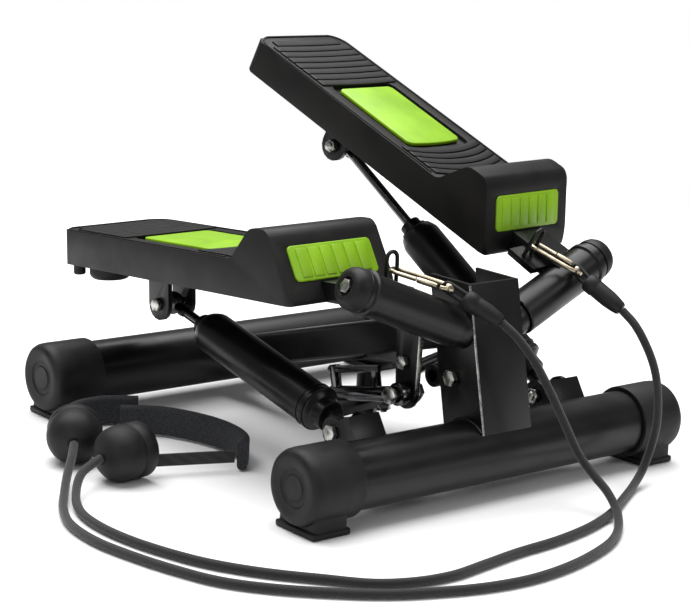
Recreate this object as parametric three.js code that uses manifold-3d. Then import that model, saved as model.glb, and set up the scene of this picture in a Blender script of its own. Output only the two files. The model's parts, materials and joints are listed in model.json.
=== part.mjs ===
// Mini stepper with two exercise bands, in millimetres.
// X runs to the right, Y to the rear (heel side) and Z up. The left pedal is at the
// bottom of its stroke and the right pedal is at the top of its stroke.
import * as THREE from 'three';
import { mergeVertices } from 'three/addons/utils/BufferGeometryUtils.js';
import Module from 'manifold-3d';

const wasm = await Module();
wasm.setup();

// ---------------------------------------------------------------- driving dimensions
const GAP = 0.3; // play left between touching pieces
const SLICES = 20; // facets on a middling round piece

// The origin is on the floor, under the middle of the machine and its handles together.
const ORIGIN = new THREE.Vector3(-31.22, 0.45, 0);

// Base frame
const TUBE_RADIUS = 25;
const TUBE_HEIGHT = 34; // axis of both cross tubes above the floor
const TUBE_OFFSET = 167; // cross tube axes in front of and behind the middle
const BASE_HALF_WIDTH = 191; // over the end caps
const TUBE_WALL = 2;
const CAP_RADIUS = 28.5;
const CAP_LENGTH = 46;
const FOOT_HALF_DEPTH = 21;

// Rectangular spine, rising from the rear cross tube to the post
const SPINE_WIDTH = 40;
const SPINE_DEPTH = 27;
const SPINE_TOP_AT_MIDDLE = 95.5;
const SPINE_SLOPE = -0.296;
const SPINE_WALL = 2.5;

// Folded channel post on the front cross tube
const POST_WIDTH = 50;
const POST_DEPTH = 44;
const POST_WALL = 3;
const POST_FRONT = -185.5; // front face where the post meets the floor tube
const POST_BASE = 50;
const POST_TOP = 162;
const POST_LEAN = 0.23;

// Pedal pivots: two shafts that drop towards the post
const PIVOT_OUTER = new THREE.Vector3(-132, -143.5, 168.6);
const PIVOT_DROP = THREE.MathUtils.degToRad(21.2);
const PIVOT_SWEEP = THREE.MathUtils.degToRad(5.3);
const PEDAL_STROKE = THREE.MathUtils.degToRad(30);
const SLEEVE_RADIUS = 16;
const SLEEVE_START = 12.5;
const SLEEVE_END = 106;
const SHAFT_RADIUS = 8;

// Pedal deck, in its own frame: X across towards the post, Y towards the heel, Z up
const DECK_ORIGIN = new THREE.Vector3(-96, -86, 173);
const DECK_PITCH = THREE.MathUtils.degToRad(-4.3);
const DECK_YAW = THREE.MathUtils.degToRad(2.3);
const DECK_WIDTH = 107;
const DECK_LENGTH = 282;
const DECK_THICKNESS = 28.4;
const TOE_HEIGHT = 25;
const TOE_LEAN = 0.507; // how far the toe face leans back for each millimetre up
const ARM_WIDTH = 36;
const ARM_HEIGHT = 15;
const ARM_END = 216;
const INSET = { width: 66, length: 88, middle: 148, groove: 4, depth: 3 };
const PANEL = { width: 82, height: 28, thickness: 4, proud: 1.5, middle: 0.5 };

// Dampers
const DAMPER_FOOT = new THREE.Vector3(-105, -124, 53);
const DAMPER_TOP_ON_DECK = new THREE.Vector3(-4, 192, -56);
const BARREL_RADIUS = 17;
const BARREL_START = 22;
const BARREL_END = 181;
const ROD_RADIUS = 4;
const ROD_REACH = 165; // rod length inside and above the barrel
const PIN_RADIUS = 3.5;
const FOOT_PIN_RADIUS = 4;

// Counter-motion linkage
const LEVER_X = -45;
const LEVER_PIN = new THREE.Vector3(-54, -122, 73);
const LINK_REAR = new THREE.Vector3(-52, -32, 51.5);
const ROCKER_CENTRE = new THREE.Vector3(0, -23, 35);
const LINK_BORE = 6; // loose on the lever pin, so the link can swing out of line
const BALL_RADIUS = 4;
const BALL_BORE = 7.4;

// Exercise bands
const CORD_RADIUS = 3.3;
const CORD_STEPS = 60;
const EYE_WIRE = 1.6;

// ---------------------------------------------------------------- finishes
const finish = (color, roughness, metalness) =>
  new THREE.MeshStandardMaterial({ color, roughness, metalness });
const powderBlack = () => finish('#1c1c1e', 0.5, 0.3);
const mouldedBlack = () => finish('#202122', 0.6, 0);
const rubberBlack = () => finish('#161617', 0.8, 0);
const limeGreen = () => finish('#93d50a', 0.5, 0);
const zincSteel = () => finish('#b8b8b2', 0.3, 1);
const snapMetal = () => finish('#a79c84', 0.35, 1);
const braid = () => finish('#17181a', 0.75, 0);
const foam = () => finish('#3b3c3f', 0.95, 0);

// ---------------------------------------------------------------- solid helpers
function solidOf(geometry) {
  const bare = new THREE.BufferGeometry();
  bare.setAttribute('position', geometry.getAttribute('position').clone());
  if (geometry.index) bare.setIndex(geometry.index.clone());
  const merged = mergeVertices(bare, 1e-4);
  const index = merged.index.array;
  const kept = [];
  for (let i = 0; i < index.length; i += 3) {
    const [a, b, c] = [index[i], index[i + 1], index[i + 2]];
    if (a !== b && b !== c && c !== a) kept.push(a, b, c);
  }
  const positions = new Float32Array(merged.getAttribute('position').array);
  if (signedVolume(positions, kept) < 0) {
    for (let i = 0; i < kept.length; i += 3) [kept[i], kept[i + 1]] = [kept[i + 1], kept[i]];
  }
  return new wasm.Manifold(
    new wasm.Mesh({ numProp: 3, vertProperties: positions, triVerts: new Uint32Array(kept) }),
  );
}

function signedVolume(positions, index) {
  const corner = (i) => new THREE.Vector3().fromArray(positions, 3 * i);
  let total = 0;
  for (let i = 0; i < index.length; i += 3) {
    const cross = corner(index[i + 1]).cross(corner(index[i + 2]));
    total += corner(index[i]).dot(cross);
  }
  return total;
}

function geometryOf(solid) {
  const mesh = solid.getMesh();
  const geometry = new THREE.BufferGeometry();
  geometry.setAttribute('position', new THREE.BufferAttribute(mesh.vertProperties, 3));
  geometry.setIndex(new THREE.BufferAttribute(mesh.triVerts, 1));
  return geometry;
}

const tidy = (geometry) => geometryOf(solidOf(geometry));
const join = (...pieces) => geometryOf(pieces.map(solidOf).reduce((a, b) => a.add(b)));
const common = (a, b) => geometryOf(solidOf(a).intersect(solidOf(b)));
function cut(body, ...tools) {
  return geometryOf(tools.map(solidOf).reduce((a, b) => a.subtract(b), solidOf(body)));
}

// ---------------------------------------------------------------- shape helpers
const block = (x, y, z) => new THREE.BoxGeometry(x, y, z);

// A round bar along +Z, starting at z = 0.
function bar(radius, length, sides = SLICES) {
  const geometry = new THREE.CylinderGeometry(radius, radius, length, sides);
  return geometry.rotateX(Math.PI / 2).translate(0, 0, length / 2);
}

// A turned piece about +Z from [radius, z] points, which end on the axis or where they began.
function turned(profile, sides = SLICES) {
  const points = profile.map(([r, z]) => new THREE.Vector2(r, z));
  return new THREE.LatheGeometry(points, sides).rotateX(Math.PI / 2);
}

const ring = (inner, outer, z0, z1, sides = SLICES) =>
  turned([[inner, z0], [outer, z0], [outer, z1], [inner, z1], [inner, z0]], sides);

// A hexagon nut or bolt head along +Z.
const hexagon = (radius, height) => bar(radius, height, 6);

function roundedRectangle(width, height, radius) {
  const shape = new THREE.Shape();
  const [x, y] = [width / 2, height / 2];
  shape.moveTo(-x + radius, -y);
  shape.lineTo(x - radius, -y);
  shape.absarc(x - radius, -y + radius, radius, -Math.PI / 2, 0);
  shape.absarc(x - radius, y - radius, radius, 0, Math.PI / 2);
  shape.absarc(-x + radius, y - radius, radius, Math.PI / 2, Math.PI);
  shape.absarc(-x + radius, -y + radius, radius, Math.PI, 1.5 * Math.PI);
  return shape;
}

// A plate of a shape's outline, drawn in X and Y and raised along +Z.
function plate(shape, depth, bevel = 0, curveSegments = 4) {
  return new THREE.ExtrudeGeometry(shape, {
    depth: depth - 2 * bevel,
    bevelEnabled: bevel > 0,
    bevelSize: bevel,
    bevelThickness: bevel,
    bevelOffset: -bevel,
    bevelSegments: 2,
    curveSegments,
  }).translate(0, 0, bevel);
}

// Turns a plate drawn as (Y, Z) so that its thickness runs along +X.
const standing = (geometry) =>
  geometry.applyMatrix4(
    new THREE.Matrix4().makeBasis(
      new THREE.Vector3(0, 1, 0),
      new THREE.Vector3(0, 0, 1),
      new THREE.Vector3(1, 0, 0),
    ),
  );

// A round wire or cord along a curve.
function wire(curve, radius, steps, sides = 8) {
  const section = new THREE.Shape();
  for (let i = 0; i < sides; i += 1) {
    const angle = (2 * Math.PI * i) / sides;
    section[i ? 'lineTo' : 'moveTo'](radius * Math.cos(angle), radius * Math.sin(angle));
  }
  return new THREE.ExtrudeGeometry(section, { steps, extrudePath: curve });
}

// Carries a piece built along +Z from the origin to run from one point towards another.
function aimed(geometry, from, towards, side = new THREE.Vector3(1, 0, 0)) {
  const z = towards.clone().sub(from).normalize();
  const x = side.clone().addScaledVector(z, -side.dot(z)).normalize();
  const y = z.clone().cross(x);
  const basis = new THREE.Matrix4().makeBasis(x, y, z).setPosition(from);
  return geometry.applyMatrix4(basis);
}

// ---------------------------------------------------------------- left and right
const stepper = new THREE.Group();
stepper.position.copy(ORIGIN).negate();

function mirrored(geometry) {
  const copy = geometry.clone();
  copy.scale(-1, 1, 1);
  return copy;
}

const mirrorPoint = (point, side) => new THREE.Vector3(point.x * side, point.y, point.z);

// Adds a left-hand geometry to a group, mirrored where side is -1.
function add(group, name, geometry, material, side = 1) {
  const mesh = new THREE.Mesh(tidy(side < 0 ? mirrored(geometry) : geometry), material);
  mesh.name = name;
  group.add(mesh);
}

const pivotTurn = new THREE.Matrix4().makeRotationFromEuler(
  new THREE.Euler(0, PIVOT_DROP, -PIVOT_SWEEP, 'ZYX'),
);
const pivotFrame = pivotTurn.clone().setPosition(PIVOT_OUTER);
const pivotAxis = new THREE.Vector3(1, 0, 0).applyMatrix4(pivotTurn);
const deckFrame = new THREE.Matrix4()
  .makeRotationFromEuler(new THREE.Euler(DECK_PITCH, 0, DECK_YAW, 'ZYX'))
  .setPosition(DECK_ORIGIN);

// Carries a piece built along +Z into place along the left pivot shaft.
const onPivot = (geometry, start = 0) =>
  geometry.translate(0, 0, start).rotateY(Math.PI / 2).applyMatrix4(pivotFrame);
const onDeck = (geometry) => geometry.applyMatrix4(deckFrame);

// ---------------------------------------------------------------- base frame
function buildBase() {
  const alongX = (geometry, y) =>
    geometry.rotateY(Math.PI / 2).translate(0, y, TUBE_HEIGHT);
  for (const [name, y] of [['front', -TUBE_OFFSET], ['rear', TUBE_OFFSET]]) {
    const half = BASE_HALF_WIDTH - 6;
    const tube = ring(TUBE_RADIUS - TUBE_WALL, TUBE_RADIUS, -half, half, 32);
    add(stepper, `${name}_cross_tube`, alongX(tube, y), powderBlack());
    for (const side of [1, -1]) {
      const cap = buildCap().translate(0, y, TUBE_HEIGHT);
      add(stepper, `${name}_${side > 0 ? 'left' : 'right'}_cap`, cap, rubberBlack(), side);
    }
  }

  const length = TUBE_OFFSET * 2;
  const spineTop = (y) => SPINE_TOP_AT_MIDDLE + SPINE_SLOPE * y;
  const box = (inset, reach) => {
    const width = SPINE_WIDTH - 2 * inset;
    const height = SPINE_DEPTH - 2 * inset;
    const solid = plate(roundedRectangle(width, height, 3), length + reach);
    return solid.translate(0, 0, -reach / 2);
  };
  const start = new THREE.Vector3(0, TUBE_OFFSET, spineTop(TUBE_OFFSET) - SPINE_DEPTH / 2);
  const end = new THREE.Vector3(0, -TUBE_OFFSET, spineTop(-TUBE_OFFSET) - SPINE_DEPTH / 2);
  const coping = alongX(bar(TUBE_RADIUS + GAP, 80, 40).translate(0, 0, -40), TUBE_OFFSET);
  const postRear = block(80, 80, 120).translate(0, postFrontAt(118) + 42 - 40, 118);
  const tube = cut(aimed(box(0, 0), start, end), aimed(box(SPINE_WALL, 20), start, end), coping);
  add(stepper, 'spine_tube', cut(tube, postRear), powderBlack());
}

function buildCap() {
  const half = TUBE_RADIUS + 2 * GAP;
  const shell = turned([
    [0, 0.5], [9, 0.5], [10, 2], [15, 2], [17, 0], [21, 0], [CAP_RADIUS - 1, 5],
    [CAP_RADIUS, CAP_LENGTH], [half, CAP_LENGTH], [half, 6 - GAP], [0, 6 - GAP],
  ]);
  shell.rotateY(Math.PI / 2).translate(-BASE_HALF_WIDTH, 0, 0);
  const foot = plate(roundedRectangle(30, 2 * FOOT_HALF_DEPTH, 4), TUBE_HEIGHT - 8);
  foot.translate(-BASE_HALF_WIDTH + 21, 0, -TUBE_HEIGHT);
  const bore = bar(half, CAP_LENGTH).rotateY(Math.PI / 2);
  return cut(join(shell, foot), bore.translate(-BASE_HALF_WIDTH + 6 - GAP, 0, 0));
}

// ---------------------------------------------------------------- post
function postFrontAt(z) {
  return POST_FRONT + POST_LEAN * (z - POST_BASE);
}

function buildPost() {
  const outline = (inset, low, high) => {
    const shape = new THREE.Shape();
    shape.moveTo(postFrontAt(low) + inset, low);
    shape.lineTo(postFrontAt(low) + POST_DEPTH + inset, low);
    shape.lineTo(postFrontAt(high) + POST_DEPTH + inset, high);
    shape.lineTo(postFrontAt(high) + inset, high);
    return shape;
  };
  const solid = standing(plate(outline(0, 30, POST_TOP), POST_WIDTH));
  solid.translate(-POST_WIDTH / 2, 0, 0);
  const inner = POST_WIDTH - 2 * POST_WALL;
  const hollow = standing(plate(outline(POST_WALL, 20, POST_TOP + 10), inner));
  hollow.translate(-inner / 2, 0, 0);
  const saddle = bar(TUBE_RADIUS + GAP, 80, 40).translate(0, 0, -40).rotateY(Math.PI / 2);
  saddle.translate(0, -TUBE_OFFSET, TUBE_HEIGHT);
  const below = block(80, 80, 30).translate(0, -TUBE_OFFSET, TUBE_HEIGHT - 15);
  const boltHole = bar(4.3, 80, 16).translate(0, 0, -40).rotateY(Math.PI / 2);
  boltHole.translate(0, -148, 88);
  add(stepper, 'front_post', cut(solid, hollow, saddle, below, boltHole), powderBlack());

  const shank = bar(4, POST_WIDTH + 12, 16).translate(0, 0, -POST_WIDTH / 2 - 1);
  const head = hexagon(6.5, 4.5).translate(0, 0, -POST_WIDTH / 2 - GAP - 4.5);
  const nut = hexagon(6.5, 5).translate(0, 0, POST_WIDTH / 2 + GAP);
  const bolt = join(shank, head, nut).rotateY(Math.PI / 2).translate(0, -148, 88);
  add(stepper, 'post_cross_bolt', bolt, zincSteel());

  const rollerY = postFrontAt(84) + POST_DEPTH + 9 + 2 * GAP;
  const roller = ring(5, 9, -24, 24, 24).rotateY(Math.PI / 2).translate(0, rollerY, 84);
  add(stepper, 'post_rear_bush', roller, powderBlack());
}

// ---------------------------------------------------------------- pedals
function deckBody() {
  const toe = (n) => TOE_LEAN * n;
  const profile = new THREE.Shape();
  profile.moveTo(toe(-DECK_THICKNESS) + 3, -DECK_THICKNESS);
  profile.quadraticCurveTo(toe(-DECK_THICKNESS), -DECK_THICKNESS, toe(-25), -25);
  profile.lineTo(toe(TOE_HEIGHT - 5), TOE_HEIGHT - 5);
  profile.quadraticCurveTo(toe(TOE_HEIGHT) + 1, TOE_HEIGHT, 18, TOE_HEIGHT + 0.5);
  profile.lineTo(27, TOE_HEIGHT + 0.5);
  profile.quadraticCurveTo(34, TOE_HEIGHT + 0.5, 38, TOE_HEIGHT - 5);
  profile.lineTo(52, 4);
  profile.quadraticCurveTo(55, 0, 61, 0);
  profile.lineTo(DECK_LENGTH - 3, 0);
  profile.quadraticCurveTo(DECK_LENGTH, 0, DECK_LENGTH, -4);
  profile.lineTo(DECK_LENGTH - 1, -25);
  profile.quadraticCurveTo(DECK_LENGTH - 1, -DECK_THICKNESS, DECK_LENGTH - 5, -DECK_THICKNESS);
  const side = standing(plate(profile, DECK_WIDTH, 0, 4)).translate(-DECK_WIDTH / 2, 0, 0);
  const front = toe(-DECK_THICKNESS) - 2;
  const plan = plate(roundedRectangle(DECK_WIDTH, DECK_LENGTH - front, 11), 80);
  plan.translate(0, (DECK_LENGTH + front) / 2, -40);
  return common(side, plan);
}

// Carries a piece from the toe face's frame (X across, Y up the face, Z outwards) to the deck.
function onToeFace(geometry) {
  const angle = Math.atan(TOE_LEAN);
  return geometry
    .translate(0, PANEL.middle, 0)
    .rotateX(Math.PI / 2 - angle);
}

function buildPedal(side, group) {
  const hand = side > 0 ? 'left' : 'right';
  const place = (name, geometry, material) =>
    add(group, `${hand}_${name}`, geometry, material, side);

  // Pivot sleeve with its plastic end cap, collar and retaining bolt
  const sleeve = turned([
    [SHAFT_RADIUS + 0.5, SLEEVE_START], [SLEEVE_RADIUS, SLEEVE_START], [SLEEVE_RADIUS, 17],
    [SLEEVE_RADIUS + 1.6, 17.5], [SLEEVE_RADIUS + 1.6, 22], [SLEEVE_RADIUS, 22.5],
    [SLEEVE_RADIUS, SLEEVE_END], [SHAFT_RADIUS + 0.5, SLEEVE_END],
    [SHAFT_RADIUS + 0.5, SLEEVE_START],
  ]);
  place('pivot_sleeve', onPivot(sleeve), powderBlack());
  const capEnd = SLEEVE_START - GAP;
  const cap = turned([
    [4.4, 4], [7, 4], [7.5, 0], [11, 0], [15, 4], [16.4, 9], [16.4, capEnd], [4.4, capEnd],
    [4.4, 4],
  ]);
  place('sleeve_end_cap', onPivot(cap), mouldedBlack());
  const retainer = join(hexagon(5.5, 4).translate(0, 0, -0.6), bar(4, 9, 16).translate(0, 0, 3));
  place('pivot_bolt', onPivot(retainer), zincSteel());

  // Deck moulding: ribbed underside, channel for the steel arm, seats for the green pieces
  const channel = block(ARM_WIDTH + 2 * GAP, ARM_END + 40, ARM_HEIGHT + 10);
  channel.translate(0, ARM_END / 2 - 20 + GAP, -DECK_THICKNESS + ARM_HEIGHT / 2 - 4.6);
  const pockets = [];
  const pocketWidth = 26;
  for (const across of [-1, 1]) {
    for (let heelward = 20; heelward < 240; heelward += 40) {
      const pocket = block(pocketWidth, 35, 20);
      const x = across * (ARM_WIDTH / 2 + 3.5 + pocketWidth / 2);
      pockets.push(pocket.translate(x, heelward + 17.5, -DECK_THICKNESS + 9.4));
    }
  }
  const seat = roundedRectangle(INSET.width + 2 * INSET.groove, INSET.length + 2 * INSET.groove, 8);
  const insetSeat = plate(seat, 20).translate(0, INSET.middle, -INSET.depth);
  const panelShape = (grow) =>
    roundedRectangle(PANEL.width + 2 * grow, PANEL.height + 2 * grow, 5);
  const panelDepth = PANEL.thickness - PANEL.proud;
  const panelSeat = onToeFace(plate(panelShape(GAP), 20).translate(0, 0, -panelDepth - GAP));
  const deck = cut(deckBody(), channel, insetSeat, panelSeat, ...pockets);
  place('pedal_deck', onDeck(deck), mouldedBlack());
  const insetPlate = plate(roundedRectangle(INSET.width, INSET.length, 5), INSET.depth);
  place('deck_inset', onDeck(insetPlate.translate(0, INSET.middle, GAP - INSET.depth)), limeGreen());
  const panel = plate(panelShape(0), PANEL.thickness).translate(0, 0, -panelDepth);
  place('toe_panel', onDeck(onToeFace(panel)), limeGreen());
  const heelPad = turned([
    [0, 0], [17, 0], [17, -9], [14, -12], [0, -12],
  ], 20).translate(-24, 250, -DECK_THICKNESS - GAP);
  place('heel_pad', onDeck(heelPad), rubberBlack());

  // Steel arm from the sleeve to the damper clevis, with the tab that holds the band eye
  const armLength = ARM_END + 58;
  const armBox = (inset, extra) =>
    block(ARM_WIDTH - 2 * inset, armLength + extra, ARM_HEIGHT - 2 * inset)
      .translate(0, ARM_END - armLength / 2, -DECK_THICKNESS + ARM_HEIGHT / 2 + 0.2);
  const tab = block(28, 26, 5).translate(-71, -121, 155.5);
  const coping = onPivot(bar(SLEEVE_RADIUS + 2 * GAP, 130), -5);
  const collarRoom = onPivot(bar(SLEEVE_RADIUS + 1.6 + 2 * GAP, 7), 16.5);
  const armTube = onDeck(armBox(0, 0));
  const bare = cut(join(armTube, tab), onDeck(armBox(2.5, 20)), coping, collarRoom);
  const arm = join(keepBehindSleeve(bare), onDeck(buildClevis()));
  place('pedal_arm', arm, powderBlack());
  const clevisPin = crossBolt(PIN_RADIUS, 14, 5.5);
  place('clevis_bolt', onDeck(clevisPin.translate(...DAMPER_TOP_ON_DECK)), zincSteel());

  // Lever under the sleeve, with its upper bolt and the pin that drives the link
  const lever = new THREE.Shape();
  lever.moveTo(-132, 126);
  lever.lineTo(-131, 73);
  lever.absarc(LEVER_PIN.y + 2, 71, 11, Math.PI, 2 * Math.PI);
  lever.lineTo(-107, 118);
  lever.quadraticCurveTo(-107, 132, -122, 136);
  lever.lineTo(-140, 140);
  const pinHole = bar(4.3, 30, 16).rotateY(Math.PI / 2).translate(-60, LEVER_PIN.y, LEVER_PIN.z);
  const leverPlate = standing(plate(lever, 5)).translate(LEVER_X - 2.5, 0, 0);
  place('lever', cut(leverPlate, coping, pinHole, leverBoltSpace()), powderBlack());
  const leverBolt = join(
    hexagon(5.5, 4).translate(0, 0, -4 - GAP),
    bar(3, 12, 16).translate(0, 0, -3),
    hexagon(5.5, 4).translate(0, 0, 5 + GAP),
  ).rotateY(Math.PI / 2).translate(LEVER_X - 2.5, -118, 96);
  place('lever_bolt', leverBolt, zincSteel());
  const pin = join(
    hexagon(7, 4).translate(0, 0, -12 - GAP),
    bar(4, 30, 16).translate(0, 0, -10),
    bar(9, 3, 20).translate(0, 0, 9 + 5 - 2.5 + GAP),
    hexagon(7, 5).translate(0, 0, 14 + GAP),
  ).rotateY(Math.PI / 2).translate(LEVER_PIN.x, LEVER_PIN.y, LEVER_PIN.z);
  place('lever_pin', pin, zincSteel());

  // Wire eye for the band
  const [eyeX, eyeY, low, high] = [-67, -119, 158 + GAP, 178];
  const eyeHalf = 5;
  const top = [30, 60, 90, 120, 150].map((degrees) => {
    const angle = THREE.MathUtils.degToRad(degrees);
    const across = eyeX - eyeHalf * Math.cos(angle);
    return new THREE.Vector3(across, eyeY, high + eyeHalf * Math.sin(angle));
  });
  const eyeRoute = [
    new THREE.Vector3(eyeX - eyeHalf, eyeY, low), new THREE.Vector3(eyeX - eyeHalf, eyeY, high),
    ...top,
    new THREE.Vector3(eyeX + eyeHalf, eyeY, high), new THREE.Vector3(eyeX + eyeHalf, eyeY, low),
  ];
  place('band_eye', wire(smooth(eyeRoute), EYE_WIRE, 16, 6), zincSteel());
}

function leverBoltSpace() {
  return bar(3.3, 30, 16).rotateY(Math.PI / 2).translate(LEVER_X - 15, -118, 96);
}

// Drops what the coping leaves on the front side of the sleeve.
function keepBehindSleeve(geometry) {
  const front = block(200, 60, 200).translate(-96, -30, 0).applyMatrix4(
    new THREE.Matrix4().makeRotationZ(-PIVOT_SWEEP).setPosition(-96, -147, 155),
  );
  return cut(geometry, front);
}

// A bolt across X with its head at -X and its nut at +X; half is half the grip.
function crossBolt(radius, half, size) {
  const shank = bar(radius, 2 * half + 8, 16).translate(0, 0, -half - 1);
  const head = hexagon(size, 4).translate(0, 0, -half - GAP - 4);
  const nut = hexagon(size, 4.5).translate(0, 0, half + GAP);
  return join(shank, head, nut).rotateY(Math.PI / 2);
}

function buildClevis() {
  const top = -DECK_THICKNESS + 1;
  const { x, y, z } = DAMPER_TOP_ON_DECK;
  const side = new THREE.Shape();
  side.moveTo(y - 13, top);
  side.lineTo(y - 13, z);
  side.absarc(y, z, 13, Math.PI, 2 * Math.PI);
  side.lineTo(y + 13, top);
  const cheeks = standing(plate(side, 28)).translate(x - 14, 0, 0);
  const slot = block(20, 40, 80).translate(x, y, top - 4 - 40);
  const hole = bar(PIN_RADIUS + GAP, 40, 16).translate(0, 0, -20).rotateY(Math.PI / 2);
  return cut(cheeks, slot, hole.translate(x, y, z));
}

// ---------------------------------------------------------------- dampers
function ballEye(bore) {
  const half = 6;
  const outer = 9.5;
  const profile = [[bore, -half]];
  for (let i = 0; i <= 4; i += 1) {
    const z = -half + (2 * half * i) / 4;
    profile.push([Math.sqrt(outer * outer - z * z), z]);
  }
  profile.push([bore, half], [bore, -half]);
  return turned(profile, 16).rotateY(Math.PI / 2);
}

function buildDamper(side, topPoint) {
  const hand = side > 0 ? 'left' : 'right';
  const foot = mirrorPoint(DAMPER_FOOT, side);
  const barrel = turned([
    [0, BARREL_START], [12, BARREL_START], [12, 31], [BARREL_RADIUS, 34],
    [BARREL_RADIUS, BARREL_END - 10], [BARREL_RADIUS - 3, BARREL_END - 3], [9, BARREL_END],
    [9, BARREL_END + 6], [ROD_RADIUS + 0.4, BARREL_END + 7], [ROD_RADIUS + 0.4, 45], [0, 45],
  ], 20);
  const neck = bar(6, BARREL_START - 4, 12).translate(0, 0, 6);
  const pinRoom = bar(5.6, 30, 16).translate(0, 0, -15).rotateY(Math.PI / 2);
  const body = cut(join(barrel, neck, ballEye(5.6)), pinRoom);
  add(stepper, `${hand}_damper_barrel`, aimed(body, foot, topPoint), powderBlack());

  const length = foot.distanceTo(topPoint);
  const topRoom = bar(6.2, 30, 16).translate(0, 0, -15).rotateY(Math.PI / 2);
  const shaft = bar(ROD_RADIUS, ROD_REACH - 6, 16).translate(0, 0, -ROD_REACH);
  const rod = cut(join(shaft, ballEye(6.2)), topRoom).translate(0, 0, length);
  add(stepper, `${hand}_damper_rod`, aimed(rod, foot, topPoint), zincSteel());
}

function buildFork(side) {
  const hand = side > 0 ? 'left' : 'right';
  const { x, y, z } = DAMPER_FOOT;
  const profile = new THREE.Shape();
  profile.moveTo(-TUBE_OFFSET + 4, TUBE_HEIGHT);
  profile.lineTo(y - 16, z + 16);
  profile.lineTo(y - 7, z + 11);
  profile.absarc(y, z, 12, 2.1, -0.8, true);
  profile.lineTo(-TUBE_OFFSET + 25, TUBE_HEIGHT - 8);
  const cheeks = standing(plate(profile, 30)).translate(x - 15, 0, 0);
  const tube = bar(TUBE_RADIUS + GAP, 80, 40).translate(0, 0, -40).rotateY(Math.PI / 2);
  tube.translate(x, -TUBE_OFFSET, TUBE_HEIGHT);
  const room = bar(24, 22, 24).translate(0, 0, -11).rotateY(Math.PI / 2).translate(x, y + 8, z + 8);
  const hole = bar(FOOT_PIN_RADIUS + GAP, 40, 16).translate(0, 0, -20).rotateY(Math.PI / 2);
  const fork = cut(cheeks, tube, room, hole.translate(x, y, z));
  add(stepper, `${hand}_damper_fork`, fork, powderBlack(), side);
  const bolt = crossBolt(FOOT_PIN_RADIUS, 15, 6.5).translate(x, y, z);
  add(stepper, `${hand}_fork_bolt`, bolt, zincSteel(), side);
}

// ---------------------------------------------------------------- pivot shafts
function buildShaft(side) {
  const hand = side > 0 ? 'left' : 'right';
  const shaft = onPivot(bar(SHAFT_RADIUS, 125 - 14.3), 14.3);
  const boss = onPivot(bar(14, 30), SLEEVE_END + 1);
  const postSide = block(60, 200, 200).translate(30 - POST_WIDTH / 2 - GAP, -150, 120);
  add(stepper, `${hand}_pivot_shaft`, cut(join(shaft, boss), postSide), zincSteel(), side);
}

// ---------------------------------------------------------------- counter-motion linkage
// A link runs from the pin of its lever to the ball at its end of the rocker.
function buildLink(hand, front, rear, pinAxis) {
  const length = LEVER_PIN.distanceTo(LINK_REAR);
  const rearEye = ring(BALL_BORE, 10.4, -3.5, 3.5, 16).rotateX(Math.PI / 2);
  rearEye.translate(0, 0, length);
  const frontEye = ring(LINK_BORE, 9, -3.5, 3.5, 16).rotateY(Math.PI / 2);
  const lower = bar(6, length - 17, 12).translate(0, 0, 7);
  const upper = bar(3, length - 32, 8).translate(0, -19, 22);
  const rearBrace = block(6, 25, 6).translate(0, -10, length - 16);
  const frontBrace = block(5, 20, 5).translate(0, -9.5, 26);
  const stud = join(bar(2.5, 14, 8), hexagon(5.5, 4.5).translate(0, 0, 8));
  stud.rotateX(-Math.PI / 2).translate(0, 0, 21);
  const pieces = join(lower, upper, rearBrace, frontBrace, stud, frontEye, rearEye);
  const frontBore = bar(LINK_BORE, 30, 16).translate(0, 0, -15).rotateY(Math.PI / 2);
  const rearBore = bar(BALL_BORE, 60, 16).translate(0, 0, -30).rotateX(Math.PI / 2);
  const link = cut(pieces, frontBore, rearBore.translate(0, 0, length));
  add(stepper, `${hand}_link`, aimed(link, front, rear, pinAxis), zincSteel());
}

function buildRocker() {
  const { y, z } = ROCKER_CENTRE;
  const spineUnder = SPINE_TOP_AT_MIDDLE + SPINE_SLOPE * y - SPINE_DEPTH * 1.043;
  const hanger = join(
    block(24, 30, 5).translate(0, 0, spineUnder - 6 - z),
    bar(9, spineUnder - 6 - z - 4 - GAP, 24).translate(0, 0, 4 + GAP),
    bar(5, 30, 20).translate(0, 0, -8),
    hexagon(9, 5).translate(0, 0, -9 - GAP),
  );
  const spineClear = aimed(
    block(60, 60, 200),
    new THREE.Vector3(0, 0, spineUnder - z + SPINE_DEPTH / 2 - 1),
    new THREE.Vector3(0, -1, spineUnder - z + SPINE_DEPTH / 2 - 1 - SPINE_SLOPE),
  );
  const trimmed = cut(hanger, spineClear.translate(0, 0, 16)).translate(0, y, z);
  add(stepper, 'rocker_hanger', trimmed, powderBlack());

  const reach = -LINK_REAR.x;
  const tilt = Math.atan2(LINK_REAR.y - y, LINK_REAR.x) + Math.PI;
  const arm = reach / Math.cos(tilt);
  const beam = plate(roundedRectangle(2 * arm + 20, 20, 9.5), 6).translate(0, 0, -3);
  const studs = [-1, 1].map((end) => {
    const ball = LINK_REAR.z - z;
    const stud = join(bar(2, ball, 10), new THREE.SphereGeometry(BALL_RADIUS, 8, 6).translate(0, 0, ball));
    return stud.translate(end * arm, 0, 0);
  });
  const boss = bar(10, 7, 24).translate(0, 0, -3.5);
  const hole = bar(5 + GAP, 40, 20).translate(0, 0, -20);
  const rocker = cut(join(beam, boss, ...studs), hole);
  rocker.rotateZ(tilt).translate(0, y, z);
  add(stepper, 'rocker', rocker, powderBlack());
}

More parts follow.
